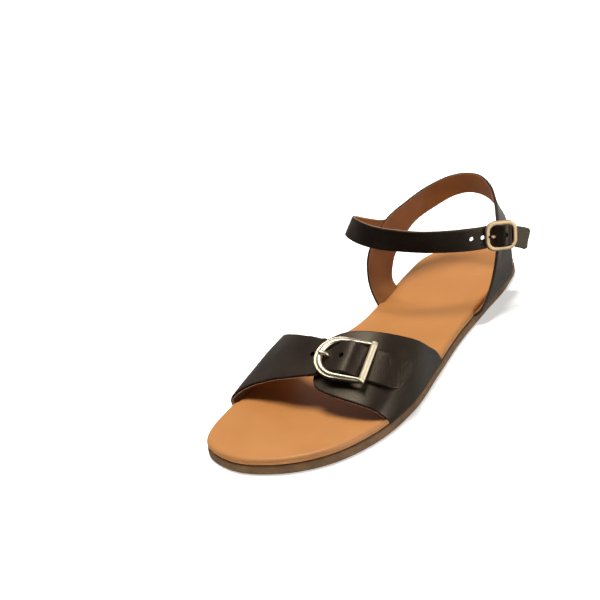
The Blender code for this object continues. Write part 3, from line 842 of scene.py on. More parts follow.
def front_buckle_seat():
    """The front buckle's seat, and the point of the instep under it."""
    x, y = D_PLACE
    turn = instep_turn(x, y)
    base = instep(turn, np.float64(y))
    normal = instep_normal(turn, np.float64(y))
    beside = y + D_ACROSS[1]
    slope = instep(instep_turn(x + D_ACROSS[0], beside), np.float64(beside)) - base
    along = unit(np.cross(slope, normal))
    reach = D_HALF_LENGTH
    for _ in range(SEAT_ROUNDS):
        ends = []
        for side in (-reach, reach):
            plan = np.array(D_PLACE) + along[:2] * side
            turn = instep_turn(plan[0], plan[1])
            out = instep_normal(turn, plan[1])
            ends.append(instep(turn, plan[1]) + out * (2 * OVER + D_BAR + GAP))
        reach *= 2 * D_HALF_LENGTH / np.linalg.norm(ends[1] - ends[0])
    return Seat(ends[0], ends[1], slope), base


D_SEAT, d_base = front_buckle_seat()
D_FRAME = D_SEAT.tilted(*D_TILT, D_HALF_LENGTH)
print("front buckle at", D_SEAT.origin.round(1))

# %% [markdown]
# ## Inner front strap
#
# This strap starts at the inner edge of the sole, narrows to a tongue, goes through the buckle and
# ends in a rounded tip, which stands a little off the strap below it. Bent over the centre bar it
# makes a smooth hump that catches the light. The tip has been bent often, so it carries fine cross
# wrinkles. The punched holes are real holes, cut with round pins, and a slot lets the prong through.

# %% Inner front strap's tables
D_CENTRE_BAR = 0.9
SLIP = 0.15
CHAPE_THICK = 0.8
# Top of the hump from the centre bar, its reach on both sides, and how round it is.
D_HUMP = (3.3, 13.8, 9.4, 0.5)
# The fold runs a little askew across the strap: this much along it for each millimetre across.
D_HUMP_SKEW = 0.07
# From the tongue down to the sole: turn round the instep, places of both edges, and lift.
INNER_STRAP = (
    (99, -72.4, -49.2, 3), (102, -72.8, -48.8, 2.7), (108, -73.3, -47.5, 1.9),
    (116, -74.6, -45.5, 1), (125, -75.8, -42.8, 0.3), (136, -78.2, -39.2, 0),
    (147, -80.4, -35.3, 0), (158, -81.2, -31.1, 0), (169, -82.2, -26.7, 0), (180, -83.3, -22.3, 0),
)
# The tongue from its tip: distances along and across the buckle of its front edge and of its rear
# edge, and lift.
TONGUE = (
    (27.7, 11.8, 27.1, 14.4, 3.9), (27.7, 8.4, 26.3, 14.7, 3.8), (27.4, 3.8, 25.2, 14.1, 3.6),
    (26.7, -1.8, 23.2, 12.6, 3.3), (25.3, -5.1, 20.5, 11.4, 2.9), (21.7, -7.6, 16.7, 10.4, 2.4),
    (13.8, -9.2, 13.8, 9.6, OVER), (9.5, -9.6, 9.5, 8.5, OVER), (5, -10, 5, 8.5, OVER),
    (2.2, -10.1, 2.2, 8.7, OVER), (-2, -9.9, -2, 7, 2.3), (-5, -9, -5, 5.1, 2.9),
    (-8.2, -8.2, -8.2, 4, 3.5), (-10, -9.4, -9.8, 4, 3.7), (-11.6, -11, -10.2, 8.8, 3.6),
    (-13, -11.6, -12, 10.8, 3.5), (-14.6, -11.7, -14.4, 11, 3.3),
)
INNER_GRID = (190, 44)
# Length from the tip over which the cut edge is dyed all the way down.
TONGUE_DYED = 58.0
# Wrinkles of the tip first, then waves of the wide part.
INNER_FOLDS = (
    (3.4, 3, 4.4, 15, 0.6, -0.16), (5.2, 2, 5.0, 9, 0.6, -0.18), (5.4, 9, 6.2, 17, 0.6, -0.16),
    (7.1, 3, 6.6, 18, 0.6, -0.18), (9.0, 1, 8.6, 8, 0.6, -0.18), (8.4, 9, 9.6, 17, 0.6, -0.18),
    (11.2, 2, 10.6, 18, 0.6, -0.18), (13.0, 1, 13.4, 16, 0.6, -0.15),
    (70, 4, 84, 20, 5, 0.3), (64, 8, 70, 26, 4, -0.25), (86, 10, 96, 40, 6, -0.3),
)
# Holes: distance from the centre bar along the strap, across it, and height of the hole's floor.
THROUGH = -3.0
FRONT_HOLES = ((-17.5, 0.9, THROUGH), (0.3, 0.5, THROUGH))
# Slot for the prong: both of its ends along the strap.
FRONT_PRONG_SLOT = (-8.9, -7.1)
PRONG_ROD = 0.9
print("inner front strap:", len(INNER_FOLDS), "folds,", len(FRONT_HOLES), "holes and a slot")

# %% Fold, hole and slot helpers
# Only the part of a strap that is this near to its buckle is folded or punched.
BUCKLE_REACH = 40.0
HOLE_RADIUS = 1.4
PIN_TOP = 5.0
PIN_SIDES = 20
SLOT_LOW = -3.8
SLOT_HIGH = 3.0
# How hollow the flanks of a fold are.
FLANK = 1.3


def tongue_rows(seat):
    """The tongue's table turned into rows on the instep."""
    rows = []
    for front_u, front_v, rear_u, rear_v, lift in TONGUE:
        row = []
        for u, v in ((front_u, front_v), (rear_u, rear_v)):
            x, y = np.array(D_PLACE) + seat.u[:2] * u + seat.v[:2] * v
            row += [instep_turn(x, y), y]
        rows.append((*row, lift))
    return rows


def ridge(share, roundness):
    """Section of a fold: 1 at its top and 0 at its feet, like a tent with a rounded top."""
    slant = np.sqrt(np.clip(np.abs(share), 0, 1) ** 2 + roundness**2) - roundness
    return np.clip(1 - slant / (math.sqrt(1 + roundness**2) - roundness), 0, 1) ** FLANK


def hump(grid, normal, place, direction, height, shape):
    """The grid raised in a fold over a buckle's centre bar, and its normals."""
    peak, before, behind, roundness = shape
    along = ((grid - place) * direction).sum(axis=-1) - peak
    reach = np.where(along < 0, before, behind)
    near = np.linalg.norm(grid - place, axis=-1) < BUCKLE_REACH
    share = along / reach
    swell = height * ridge(share, roundness) * near
    step = 0.01
    change = ridge(share + step, roundness) - ridge(share - step, roundness)
    slope = change / (2 * step) * height / reach * near
    return grid + normal * swell[..., None], unit(normal - direction * slope[..., None])


def pin(start, end, side, radius):
    """Round cutter between two points, with the dyed edge's look for the wall it leaves."""
    axis = unit(end - start)
    beside = np.cross(axis, side)
    turns = np.arange(PIN_SIDES) * 2 * math.pi / PIN_SIDES
    points = []
    for centre in (start, end):
        points += [centre + (side * math.cos(a) + beside * math.sin(a)) * radius for a in turns]
    numbers, sides = stack(2, PIN_SIDES)
    return make_piece("pin", points, [numbers[0][::-1], numbers[1], *sides], [DYED_EDGE])


def punch(piece, grid, normal, seat, along, across, bottom):
    """A round hole in a strap, at distances from the middle of its buckle."""
    place = grid - seat.origin
    miss = (place @ seat.u - along) ** 2 + (place @ seat.v - across) ** 2
    miss = np.where(np.linalg.norm(place, axis=-1) < BUCKLE_REACH, miss, np.inf)
    row, col = np.unravel_index(miss.argmin(), miss.shape)
    spot, out = grid[row, col], normal[row, col]
    side = unit(np.cross(out, seat.v))
    cut(piece, pin(spot + out * bottom, spot + out * PIN_TOP, side, HOLE_RADIUS))


def slot_cutter(seat, span, half, look):
    """Block across a buckle's strap, between two distances along it."""
    near, far = span
    corners = ((near, SLOT_LOW), (far, SLOT_LOW), (far, SLOT_HIGH), (near, SLOT_HIGH))
    points = [seat.point(u, v, n) for v in (-half, half) for u, n in corners]
    numbers, sides = stack(2, len(corners))
    return make_piece("slot", points, [numbers[0][::-1], numbers[1], *sides], [look])


print("a fold at its top, half way down and at its foot:", ridge(np.array([0, 0.5, 1]), 0.5).round(2))

# %% Inner front strap
above = np.dot(D_SEAT.origin - d_base, D_SEAT.n)
crest = above + D_CENTRE_BAR + SLIP + CHAPE_THICK + GAP
grid, normal = front_grid(tongue_rows(D_SEAT) + straight_rows(INNER_STRAP), *INNER_GRID)
place = D_SEAT.origin - D_SEAT.n * above
askew = unit(D_SEAT.u - D_SEAT.v * D_HUMP_SKEW)
grid, normal = hump(grid, normal, place, askew, crest - OVER, D_HUMP)
along, across = strap_measures(grid)
grid = grid + normal * folds(along, across, INNER_FOLDS)[..., None]
inner_strap = strap_piece("inner_front_strap", grid, normal, STRAP_THICK, TONGUE_DYED)
for spot in FRONT_HOLES:
    punch(inner_strap, grid, normal, D_SEAT, *spot)
cut(inner_strap, slot_cutter(D_SEAT, FRONT_PRONG_SLOT, PRONG_ROD + SLIP, DYED_EDGE))
sharpen(inner_strap, 40)
wear(inner_strap, "front_strap_inner")

# %% [markdown]
# ## Front buckle
#
# The frame is cast in a D. Its round side is not a plain wire: a low outer rim, a groove and a rounded
# inner band run along it and show as two bright lines. So its section is drawn as a small polygon and
# swept along the D. The straight bar is a roller with fine slanting ridges and plain ends, made as a
# tube whose radius changes round and along it. The centre bar under the strap is a plain rod.

# %% Sweeping and turning helpers
ROD_STEPS = 9
ROD_SIDES = 16


def swept(name, path, axis, section, widths, centre, closed, look):
    """A section swept along a flat path, its first direction away from the centre and scaled by widths."""
    path = np.asarray(path, float)
    if closed:
        tangent = np.roll(path, -1, axis=0) - np.roll(path, 1, axis=0)
    else:
        tangent = np.gradient(path, axis=0)
    outward = unit(np.cross(tangent, axis))
    outward *= np.sign(((path - centre) * outward).sum(axis=1).mean())
    section = np.asarray(section, float)
    wide = np.reshape(widths, (-1, 1, 1)) * section[None, :, :1]
    rings = path[:, None] + outward[:, None] * wide + axis * section[None, :, 1:]
    numbers, faces = stack(len(path), len(section))
    faces += ring_faces(numbers[-1], numbers[0]) if closed else [numbers[0][::-1], numbers[-1]]
    return make_piece(name, rings.reshape(-1, 3), faces, [look])


def turned(name, start, end, across, places, radius, look, sides):
    """A turned rod: its radius is given at places along it, for each angle round it."""
    axis = unit(end - start)
    side = unit(across - axis * np.dot(across, axis))
    beside = np.cross(axis, side)
    angle = np.arange(sides) * 2 * math.pi / sides
    points = []
    for place in places:
        reach = radius(place, angle)[:, None]
        ring = np.cos(angle)[:, None] * side + np.sin(angle)[:, None] * beside
        points.append(start + axis * place + ring * reach)
    numbers, walls = stack(len(places), sides)
    faces = [numbers[0][::-1], numbers[-1], *walls]
    return make_piece(name, np.concatenate(points), faces, [look])


def centre_rod(name, seat, half, height, radius, look):
    """A buckle's centre bar: a plain rod across its seat."""
    start, end = (seat.point(0, v, height) for v in (-half, half))
    places = np.linspace(0, 2 * half, ROD_STEPS)
    rod = turned(
        name, start, end, seat.n, places, lambda place, angle: np.full(len(angle), radius), look, ROD_SIDES
    )
    sharpen(rod, 40)
    return rod


print("centre rods have", ROD_SIDES, "sides")

# %% D of the front buckle
# Section of the D: distance outwards from the middle of the rod, and height.
D_SECTION = (
    (1.5, -1.1), (1.6, -0.4), (1.58, 0.0), (1.5, 0.3), (1.34, 0.5), (1.12, 0.6), (0.9, 0.55),
    (0.74, 0.4), (0.62, 0.38), (0.5, 0.68), (0.3, 0.98), (0.0, 1.22), (-0.35, 1.34), (-0.75, 1.32),
    (-1.1, 1.17), (-1.36, 0.9), (-1.5, 0.5), (-1.52, 0.0), (-1.45, -0.8), (-1.1, -1.35), (0.0, -1.5),
    (1.1, -1.4),
)
# Width of that section along the frame: slim at the bar, broad at the round end.
D_SLIM = 0.8
D_BROAD = 1.45
D_WIDENING = 1.5
D_ROUND_REACH = 12.8
D_SIDE_STEPS = 9
D_ROUND_STEPS = 60

centre = D_HALF_WIDTH - D_ROUND_REACH
line = [(u, D_HALF_WIDTH) for u in np.linspace(D_HALF_LENGTH, 0, D_SIDE_STEPS)]
for a in np.linspace(math.pi / 2, 3 * math.pi / 2, D_ROUND_STEPS):
    line.append((centre + D_HALF_WIDTH * math.cos(a), D_HALF_WIDTH * math.sin(a)))
line += [(u, -D_HALF_WIDTH) for u in np.linspace(0, D_HALF_LENGTH, D_SIDE_STEPS)]
path = [D_FRAME.point(u, v, 0) for u, v in line]
from_bar = D_HALF_LENGTH - np.array(column(line, 0))
round_share = np.clip(from_bar / (D_HALF_LENGTH + D_ROUND_REACH), 0, 1)
widths = D_SLIM + (D_BROAD - D_SLIM) * round_share**D_WIDENING
d_frame = swept("front_buckle_d", path, D_FRAME.n, D_SECTION, widths, D_FRAME.origin, False, PLATING)
sharpen(d_frame, 35)
wear(d_frame, "front_buckle_frame")

# %% Bars of the front buckle
D_BAR_OVERHANG = 1.4
# Plain end of the bar: distance from the end, and radius.
BAR_END = ((0.0, 0.9), (0.12, 1.35), (0.4, 1.62), (0.8, D_BAR), (1.7, D_BAR), (1.95, 1.5))
RIDGED_FROM = 2.1
RIDGED_STEPS = 150
BAR_SIDES = 120
RIDGES = 12
RIDGE_TURNS = 2.3
RIDGE_HEIGHT = 0.07
# The centre bar lies this far below the middle of the frame.
D_CENTRE_DROP = 0.6
reach = D_HALF_WIDTH + D_BAR_OVERHANG
bar_length = 2 * reach


def roller(place, angle):
    """Radius of the ridged bar at a place along it, for each angle round it."""
    from_end = min(place, bar_length - place)
    if from_end <= BAR_END[-1][0]:
        return np.full(len(angle), np.interp(from_end, column(BAR_END, 0), column(BAR_END, 1)))
    wave = np.cos(RIDGES * (angle + 2 * math.pi * RIDGE_TURNS * place / bar_length))
    return D_BAR - RIDGE_HEIGHT + RIDGE_HEIGHT * wave


ends = np.array(column(BAR_END, 0))
ridged = np.linspace(RIDGED_FROM, bar_length - RIDGED_FROM, RIDGED_STEPS)
places = np.concatenate([ends, ridged, bar_length - ends[::-1]])
start, end = (D_FRAME.point(D_HALF_LENGTH, v, 0) for v in (-reach, reach))
bar = turned("front_buckle_bar", start, end, D_FRAME.n, places, roller, HATCHED, BAR_SIDES)
sharpen(bar, 40)
wear(bar, "front_buckle_frame")
centre_bar = centre_rod(
    "front_buckle_centre_bar", D_FRAME, D_HALF_WIDTH, -D_CENTRE_DROP, D_CENTRE_BAR, PLATING
)
wear(centre_bar, "front_buckle_frame")

# %% [markdown]
# ## Prongs and chapes
#
# A prong is a rod hooked round the centre bar. It runs bowed under the strap, comes up through a slot
# and rests on the far side of the frame. A short table gives its line; a smooth curve through it is
# swept with a round section that closes to a blunt tip. The leather loops that hold the frames, the
# chapes, are hidden, so the plain solids stay and only take the matt flesh side of the strap's hide.

# %% Prong recipe and front prong
# Line of the front prong after its hook: distance along the buckle, and height.
FRONT_PRONG = (
    (-3, -1.1), (-4.4, -2.2), (-6, -2.8), (-7.2, -2.4), (-7.7, -1), (-7.9, 0.4), (-8.4, 1.3),
    (-9.4, 1.75), (-12.9, 2.25),
)
# Tip of a prong: distance back from its end, and share of the rod's radius.
PRONG_TIP = ((1.2, 1.0), (0.9, 1.0), (0.6, 0.96), (0.35, 0.82), (0.15, 0.55), (0.0, 0.2))
PRONG_STEPS = 60
PRONG_SIDES = 14
# The hook round the centre bar: its room, its angles in radians, and its points, beaten thin.
HOOK_ROOM = 0.4
HOOK_ANGLES = np.linspace(6.0, 3.5, 9)
HOOK_POINTS = 12
HOOK_THIN = 0.5


def prong(name, seat, bar, rows, look, solid):
    """A prong hooked round a bar of that radius, along the rows of its table."""
    eye = bar + SLIP + HOOK_ROOM
    hook = [(eye * math.cos(a), eye * math.sin(a)) for a in HOOK_ANGLES]
    table = np.array(hook + list(rows), float)
    knots = lengths(table)
    from_tip = np.array(column(PRONG_TIP, 0))
    shaft = np.linspace(0, knots[-1] - from_tip[0], PRONG_STEPS)
    at = np.concatenate([shaft, knots[-1] - from_tip[1:]])
    read = flow(knots, table, at)
    tangent = unit(np.gradient(read, axis=0))
    beside = np.stack([-tangent[:, 1], tangent[:, 0]], axis=1)
    taper = np.ones(len(at))
    taper[-len(PRONG_TIP):] = column(PRONG_TIP, 1)
    thin = np.where(np.arange(len(at)) < HOOK_POINTS, HOOK_THIN, 1.0)
    angle = np.arange(PRONG_SIDES) * 2 * math.pi / PRONG_SIDES
    points = []
    for (u, n), (bu, bn), share, flat in zip(read, beside, taper, thin):
        for a in angle:
            reach = PRONG_ROD * share * math.cos(a) * flat
            points.append(seat.point(u + bu * reach, PRONG_ROD * share * math.sin(a), n + bn * reach))
    numbers, sides = stack(len(at), PRONG_SIDES)
    piece = make_piece(name, points, [numbers[0][::-1], numbers[-1], *sides], [look])
    wear(piece, solid)


prong("front_prong", D_FRAME, D_CENTRE_BAR, FRONT_PRONG, PLATING, "front_buckle_prong")

# %% Chapes
CHAPES = ("front_buckle_chape", "ankle_buckle_chape")
for name in CHAPES:
    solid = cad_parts[name]
    solid.data.materials.clear()
    solid.data.materials.append(FLESH_SIDE)
print("chapes:", CHAPES)

# %% [markdown]
# ## Heel strap
#
# The heel strap runs from the outer side of the sole up behind the heel and down to the inner side,
# wide at its feet and narrower round the back. Its table gives both edges in space, a row for each
# place where the strap turns. It leans with the heel, so neither edge is level. A curve with a flat
# bevel would have one width and one lean, so both edges have points of their own.

# %% Heel strap
HEEL_SEAT = SEAT + 1.0
# From the outer foot round the back to the inner foot: a point of the upper edge and one of the lower
# edge, which are the front and the rear edge at the feet.
HEEL_STRAP = (
    (33.2, 44.6, HEEL_SEAT, 29.8, 88.6, HEEL_SEAT), (35.9, 46.9, 8.8, 33.2, 90, 9),
    (37.3, 52.5, 13.3, 34.6, 90.6, 13.5), (37.9, 60.5, 21, 35.3, 90.4, 19.5),
    (36.9, 69.8, 30.8, 35.1, 91.3, 26.9), (33.8, 80, 41.6, 32.4, 95.6, 35.4),
    (29.8, 88.8, 50, 28.6, 100, 41.9), (25.8, 95.4, 55.9, 22.6, 103.6, 46.8),
    (21.8, 100, 60.4, 18.8, 105.8, 49.2), (12.8, 105.2, 64.6, 11, 108.8, 51.2),
    (2.6, 107.7, 64.4, 2.4, 110.8, 51), (-8.1, 106.6, 62, -7.9, 111, 48.1),
    (-19.2, 102, 57.3, -19, 107.6, 42.2), (-27.2, 88, 52.5, -29.2, 95, 35.5),
    (-33.4, 71, 46.8, -32.6, 83, 27.5), (-35.3, 53, 35.9, -33.6, 73, 20),
    (-34.3, 46.4, 27.7, -32.8, 67.5, 13), (-32.4, 43, 17.6, -30.5, 64.5, 10),
    (-28.3, 40, 11.2, -28.2, 63.2, 8.2), (-24.8, 38.4, HEEL_SEAT, -26.5, 62.8, HEEL_SEAT),
)
HEEL_GRID = (170, 30)
# More than its whole length: the cut edge of this strap is dyed all the way.
HEEL_DYED = 400.0
HEEL_FOLDS = (
    (30, 6, 46, 14, 4, -0.2), (96, 3, 120, 12, 5, 0.2), (150, 4, 170, 16, 6, -0.25),
)
# A point inside the ankle: the straps' outer faces look away from it.
INSIDE = np.array([0.0, 65.0, 35.0])


def band_grid(rows, along_count, across_count):
    """Close grid of a band between its upper and its lower edge."""
    table = np.array(rows, float)
    knots = lengths((table[:, :3] + table[:, 3:]) / 2)
    read = flow(knots, table, spread(knots[-1], along_count))
    upper, lower = read[:, :3], read[:, 3:]
    share = spread_shares(np.linalg.norm(upper - lower, axis=1), across_count)[..., None]
    return upper[:, None] * (1 - share) + lower[:, None] * share


grid = band_grid(HEEL_STRAP, *HEEL_GRID)
normal = grid_normals(grid, grid - INSIDE)
along, across = strap_measures(grid)
grid = grid + normal * folds(along, across, HEEL_FOLDS)[..., None]
heel_strap = strap_piece("heel_strap_band", grid, normal, STRAP_THICK, HEEL_DYED)
wear(heel_strap, "heel_strap")

# %% [markdown]
# ## Ankle strap
#
# The ankle strap is sewn to the heel strap on the inner side, goes round the front of the ankle and
# through the small buckle on the outer side, with its tip sticking out beyond. It turns sharply where
# it leaves the heel strap, and it humps over the buckle's centre bar as the front strap does. Its
# lower edge is drawn in a little where it passes the frame.

# %% Ankle strap's tables
ANKLE_STRAP_THICK = 1.6
# From the sewn end to the tip: a point of the upper edge and one of the lower edge.
ANKLE_STRAP = (
    (-34.3, 81, 44, -33.6, 82, 31), (-35, 66, 49.3, -34.8, 67, 36.3),
    (-38, 56, 54.4, -41.5, 58, 41.2), (-39, 47.5, 59, -47.6, 49, 46),
    (-32.5, 41.4, 60.6, -37, 41.6, 46.2), (-19, 37.6, 59.8, -20, 38.5, 45.2),
    (-4, 38.3, 58.8, -4, 39.5, 45), (8.5, 43.2, 57, 8.2, 44.2, 43.4),
    (17.4, 49.8, 55.3, 17.6, 50.2, 41.8), (25.7, 58, 53.5, 26.5, 57.7, 40),
    (31.9, 65.7, 51.9, 33.6, 65.4, 38.6), (40, 76.2, 50.4, 42.2, 74.8, 36.9),
    (46, 83.6, 45.8, 47, 80.6, 33.6), (49.2, 87.4, 43.4, 49.7, 83.6, 32.1),
    (50, 88.5, 42.2, 50.4, 84.7, 33), (50.3, 88.5, 40.6, 50.7, 85.3, 34.4),
)
ANKLE_GRID = (230, 20)
# Where the buckle sits: share of the strap's length, and distance above the strap's middle.
SQUARE_SHARE = 0.879
SQUARE_UP = 0.45
SQUARE_HALF_LENGTH = 8.35
SQUARE_HALF_WIDTH = 7.3
SQUARE_CORNER = 4.6
SQUARE_ROD = 1.15
SQUARE_CENTRE_BAR = 0.8
# The hump, given as for the front buckle.
SQUARE_HUMP = (1.6, 9.0, 6.4, 0.4)
# Share of its lower half that the strap loses where it is drawn through the frame.
PINCH = 0.15
PINCH_REACH = 8.0
# The hole over the centre bar is left closed by a thin skin at its bottom: a dark floor that stands in for
# the shade seen through the real hole.
ANKLE_HOLES = ((-16.9, -0.65, THROUGH), (-10.2, -0.65, THROUGH), (1.4, 0.8, 0.4))
# The slot is narrower than the prong, which presses into the leather.
ANKLE_PRONG_SLOT = (-5.4, -4.1)
ANKLE_SLOT_HALF = PRONG_ROD * 0.8
print("ankle strap:", len(ANKLE_HOLES), "holes and a slot")

# %% Ankle strap
grid = band_grid(ANKLE_STRAP, *ANKLE_GRID)
normal = grid_normals(grid, grid - INSIDE)
travelled = lengths(grid[:, grid.shape[1] // 2])
row = int(np.abs(travelled - SQUARE_SHARE * travelled[-1]).argmin())
column_mid = grid.shape[1] // 2
place, out = grid[row, column_mid], normal[row, column_mid]
level = ANKLE_STRAP_THICK + 2 * GAP + SQUARE_ROD
ahead = unit(grid[row + 2, column_mid] - grid[row - 2, column_mid]) * SQUARE_HALF_LENGTH
raised = place + out * level + unit(grid[row, 0] - grid[row, -1]) * SQUARE_UP
SQUARE_SEAT = Seat(raised - ahead, raised + ahead, grid[row, 0] - grid[row, -1])
crest = level + SQUARE_CENTRE_BAR + SLIP + CHAPE_THICK + 3 * GAP
along = (grid - place) @ SQUARE_SEAT.u
near = np.exp(-((along / PINCH_REACH) ** 4)) * (np.linalg.norm(grid - place, axis=-1) < BUCKLE_REACH)
middle = grid[:, column_mid : column_mid + 1]
lower = np.arange(grid.shape[1]) > column_mid
grid = grid - (grid - middle) * (PINCH * near * lower)[..., None]
grid, normal = hump(grid, normal, place, SQUARE_SEAT.u, crest, SQUARE_HUMP)
ankle_strap = strap_piece("ankle_strap_band", grid, normal, ANKLE_STRAP_THICK)
for spot in ANKLE_HOLES:
    punch(ankle_strap, grid, normal, SQUARE_SEAT, *spot)
cut(ankle_strap, slot_cutter(SQUARE_SEAT, ANKLE_PRONG_SLOT, ANKLE_SLOT_HALF, DYED_EDGE))
sharpen(ankle_strap, 40)
wear(ankle_strap, "heel_strap")
ANKLE_FACE = grid + normal * ANKLE_STRAP_THICK
ANKLE_OUT = normal

# %% [markdown]
# ## Stitched end of the ankle strap
#
# On the inner side the ankle strap ends on the heel strap, held by a small stitched rectangle. Each
# stitch is a short thread that dips into the leather at both ends, so a bent capsule is enough.

# %% Stitches
STITCH = 2.2
STITCH_GAP = 0.7
THREAD_RADIUS = 0.28
THREAD_SIDES = 8
# Corners of the stitched rectangle on the strap: along it, and across it.
STITCHED = ((2.0, 2.2), (11.0, 2.2), (11.0, 11.4), (2.0, 11.4), (2.0, 2.2))
# A stitch's two ends, as shares of its place in the row.
STITCH_ENDS = (0.12, 0.88)
# A stitch from end to end: share of its length, rise over the leather and share of its radius.
STITCH_SHAPE = ((0, -0.15, 0.6), (0.2, 0.08, 0.95), (0.5, 0.16, 1), (0.8, 0.08, 0.95), (1, -0.15, 0.6))


def on_strap(face, out, along_at, across_at):
    """Point and direction on a strap's outer face, at distances along and across it."""
    along, across = strap_measures(face)
    row = int(np.abs(along[:, 0] - along_at).argmin())
    col = int(np.abs(across[row] - across_at).argmin())
    return face[row, col], out[row, col]


points, faces = [], []
made = 0
turns = np.arange(THREAD_SIDES) * 2 * math.pi / THREAD_SIDES
for (a0, c0), (a1, c1) in zip(STITCHED, STITCHED[1:]):
    run = np.array([a1 - a0, c1 - c0])
    count = max(1, int(np.linalg.norm(run) // (STITCH + STITCH_GAP)))
    for k in range(count):
        ends = []
        for share in STITCH_ENDS:
            along_at, across_at = np.array([a0, c0]) + run * ((k + share) / count)
            ends.append(on_strap(ANKLE_FACE, ANKLE_OUT, along_at, across_at))
        (start, out), (end, _) = ends
        beside = np.cross(unit(end - start), out)
        numbers, sides = stack(len(STITCH_SHAPE), THREAD_SIDES, len(points))
        faces += [numbers[0][::-1], numbers[-1], *sides]
        for share, rise, size in STITCH_SHAPE:
            for a in turns:
                ring = beside * math.cos(a) + out * math.sin(a)
                points.append(start + (end - start) * share + out * rise + ring * THREAD_RADIUS * size)
    made += count
stitches = make_piece("ankle_strap_stitches", points, faces, [THREAD])
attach(stitches, "root")
print("stitches:", made)

# %% [markdown]
# ## Ankle buckle
#
# The small buckle is a rounded square, cast and plated with a satin finish, with a flattened section.
# A closed sweep makes the frame, and a plain turned rod its centre bar. A notch in the frame's inner
# edge leaves room for the prong's end.

# %% Ankle buckle
SQUARE_BAND = 1.3
SQUARE_SIDES = 20
# How round the section is: 1 gives an ellipse, and less a flatter one.
SQUARE_ROUNDNESS = 0.55
CORNER_STEPS = 16
SQUARE_NOTCH = (-8.2, -5.5)
NOTCH_HALF = PRONG_ROD * 0.75
# Line of the ankle prong after its hook: distance along the buckle, and height.
ANKLE_PRONG = ((-1.5, 0.9), (-2.5, -0.5), (-3.8, -1), (-4.7, 0.4), (-5.2, 1.9), (-7.0, 2.1))

angles = np.arange(SQUARE_SIDES) * 2 * math.pi / SQUARE_SIDES
section = np.stack([
    SQUARE_BAND * np.sign(np.cos(angles)) * np.abs(np.cos(angles)) ** SQUARE_ROUNDNESS,
    SQUARE_ROD * np.sign(np.sin(angles)) * np.abs(np.sin(angles)) ** SQUARE_ROUNDNESS,
], axis=1)
line = []
for corner, (u_side, v_side) in enumerate(((1, 1), (-1, 1), (-1, -1), (1, -1))):
    centre_u = u_side * (SQUARE_HALF_LENGTH - SQUARE_CORNER)
    centre_v = v_side * (SQUARE_HALF_WIDTH - SQUARE_CORNER)
    for step in range(CORNER_STEPS):
        a = (corner + step / (CORNER_STEPS - 1)) * math.pi / 2
        line.append((centre_u + SQUARE_CORNER * math.cos(a), centre_v + SQUARE_CORNER * math.sin(a)))
path = [SQUARE_SEAT.point(u, v, 0) for u, v in line]
square = swept(
    "ankle_buckle_square", path, SQUARE_SEAT.n, section, 1.0, SQUARE_SEAT.origin, True, SATIN
)
cut(square, slot_cutter(SQUARE_SEAT, SQUARE_NOTCH, NOTCH_HALF, SATIN))
sharpen(square, 40)
wear(square, "ankle_buckle_frame")
square_bar = centre_rod(
    "ankle_buckle_centre_bar", SQUARE_SEAT, SQUARE_HALF_WIDTH, 0, SQUARE_CENTRE_BAR, SATIN
)
wear(square_bar, "ankle_buckle_frame")
prong("ankle_prong", SQUARE_SEAT, SQUARE_CENTRE_BAR, ANKLE_PRONG, SATIN, "ankle_buckle_prong")

# %% [markdown]
# ## Camera
#
# The camera stands where the photographer did: in front of the toe, a little above, on the outer side
# of the foot. Its place and directions are worked out from the outline of the sole, which is flat on
# the ground and whose length is known.

# %% Camera
EYE = (363.2 - ORIGIN_X, -517.07, 351.86)
RIGHT = Vector((0.81678, 0.55231, -0.16678))
UP = Vector((-0.12629, 0.45322, 0.88240))
LENS = 77.29

camera_data = bpy.data.cameras.new("camera")
camera_data.lens = LENS
camera_data.sensor_width = 36.0
camera_data.clip_start = 0.01
camera = bpy.data.objects.new("camera", camera_data)
bpy.context.scene.collection.objects.link(camera)
back = RIGHT.cross(UP)
pose = Matrix((RIGHT, UP, back)).transposed().to_4x4()
pose.translation = Vector(EYE) * METRES_PER_MM
camera.matrix_world = pose
bpy.context.scene.camera = camera
print("camera", [round(v, 3) for v in camera.location])

# %% [markdown]
# ## Floor and light
#
# One lamp overhead gives the light and the soft shadows. What the leather and the metal show is set
# apart from that: boards and cards that are seen only in reflections hang overhead, at the outer side
# and behind, and the room is dim in front and brighter behind. The floor is a plain pale sheet with a
# faint glow, like paper on a light table, so that the shadows on it stay light.

# %% Floor
FLOOR_HALF = 9000
# Matt and even: it shows no gloss, only soft shadows. Real fibres are far finer than 1.5 mm, which is
# the least that could show.
FLOOR, tree, shader, place = start_material("matt_white_paper")
fibre = node(tree, "ShaderNodeTexNoise", {"Scale": per_metre(1.5), "Detail": 2.0}, {"Vector": place})
paper = node(
    tree, "ShaderNodeBump", {"Strength": 0.05, "Distance": 0.1 * METRES_PER_MM},
    {"Height": fibre.outputs["Fac"]},
)
tree.links.new(paper.outputs["Normal"], shader.inputs["Normal"])
shader.inputs["Base Color"].default_value = colour("#f4f3f1")
shader.inputs["Emission Color"].default_value = colour("#ffffff")
shader.inputs["Emission Strength"].default_value = 0.5
shader.inputs["Roughness"].default_value = 0.9
corners = [(u * FLOOR_HALF, v * FLOOR_HALF, 0) for u, v in ((-1, -1), (1, -1), (1, 1), (-1, 1))]
floor = make_piece("floor", corners, [(0, 1, 2, 3)], [FLOOR])
floor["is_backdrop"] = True
# The paper is kept out of reflections: the dark straps show the dim room instead, as on a raised table.
floor.visible_glossy = False
# So is the footbed, whose tan would tint the dark ankle strap above it.
footbed.visible_glossy = False
print("floor:", FLOOR.name)

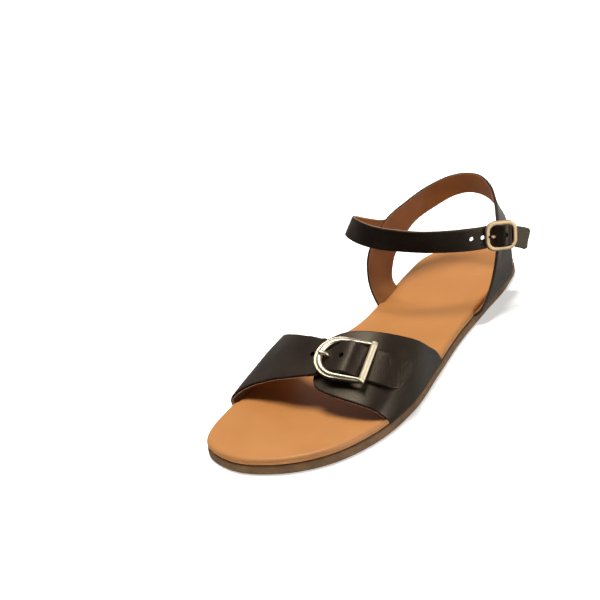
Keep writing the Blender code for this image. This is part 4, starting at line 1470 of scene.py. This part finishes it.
# %% Room
# Brightness of the room in front and behind, and its warm tint in linear light.
ROOM_FRONT = 0.04
ROOM_BACK = 0.33
ROOM_TINT = (1.0, 0.97, 0.87, 1.0)
world = bpy.data.worlds.new("studio")
world.use_nodes = True
tree = world.node_tree
place = node(tree, "ShaderNodeTexCoord", {}, {}).outputs["Generated"]
split = node(tree, "ShaderNodeSeparateXYZ", {}, {"Vector": place})
wall = node(
    tree, "ShaderNodeMapRange",
    {
        "From Min": -0.6, "From Max": 0.5, "To Min": ROOM_FRONT, "To Max": ROOM_BACK,
        "interpolation_type": "SMOOTHSTEP",
    },
    {"Value": split.outputs["Y"]},
)
tree.nodes["Background"].inputs["Color"].default_value = ROOM_TINT
tree.links.new(wall.outputs["Result"], tree.nodes["Background"].inputs["Strength"])
bpy.context.scene.world = world
print("room: from", ROOM_FRONT, "in front to", ROOM_BACK, "behind")

# %% Lamps
LAMP_TINT = (1.0, 0.975, 0.94)
# Lamps: name, place, width, depth, watts, and whether they light surfaces or only show in reflections.
LAMPS = (
    ("overhead_lamp", (-0.4, 0.15, 2.0), 0.8, 0.8, 54.0, True),
    ("overhead_board", (-0.6, 0.1, 2.0), 1.7, 1.5, 6.5, False),
    ("overhead_box", (-0.08, 0.0, 1.98), 0.9, 0.5, 18.0, False),
    ("side_card", (1.6, -0.1, 0.35), 1.5, 1.1, 23.0, False),
    ("back_card", (0.2, 1.8, -0.3), 0.9, 1.0, 2.4, False),
)
for name, spot, width, depth, watts, lights_up in LAMPS:
    lamp = bpy.data.lights.new(name, "AREA")
    lamp.shape = "RECTANGLE"
    lamp.size = width
    lamp.size_y = depth
    lamp.energy = watts
    lamp.color = LAMP_TINT
    holder = bpy.data.objects.new(name, lamp)
    holder.location = spot
    holder.rotation_mode = "QUATERNION"
    holder.rotation_quaternion = (-Vector(spot)).to_track_quat("-Z", "Y")
    holder.visible_diffuse = lights_up
    holder.visible_glossy = not lights_up
    bpy.context.scene.collection.objects.link(holder)
bpy.context.scene.view_settings.view_transform = "Standard"
print("lamps:", [row[0] for row in LAMPS])

# %% [markdown]
# ## Size and finish
#
# The dressed sandal has to stay as large as its solids. Its size is printed at the end.

# %% Sizes and finish
dressed_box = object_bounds()
dressed_size = [round((high - low) / METRES_PER_MM, 1) for low, high in zip(*dressed_box)]
print("dressed sandal:", dressed_size, "mm")
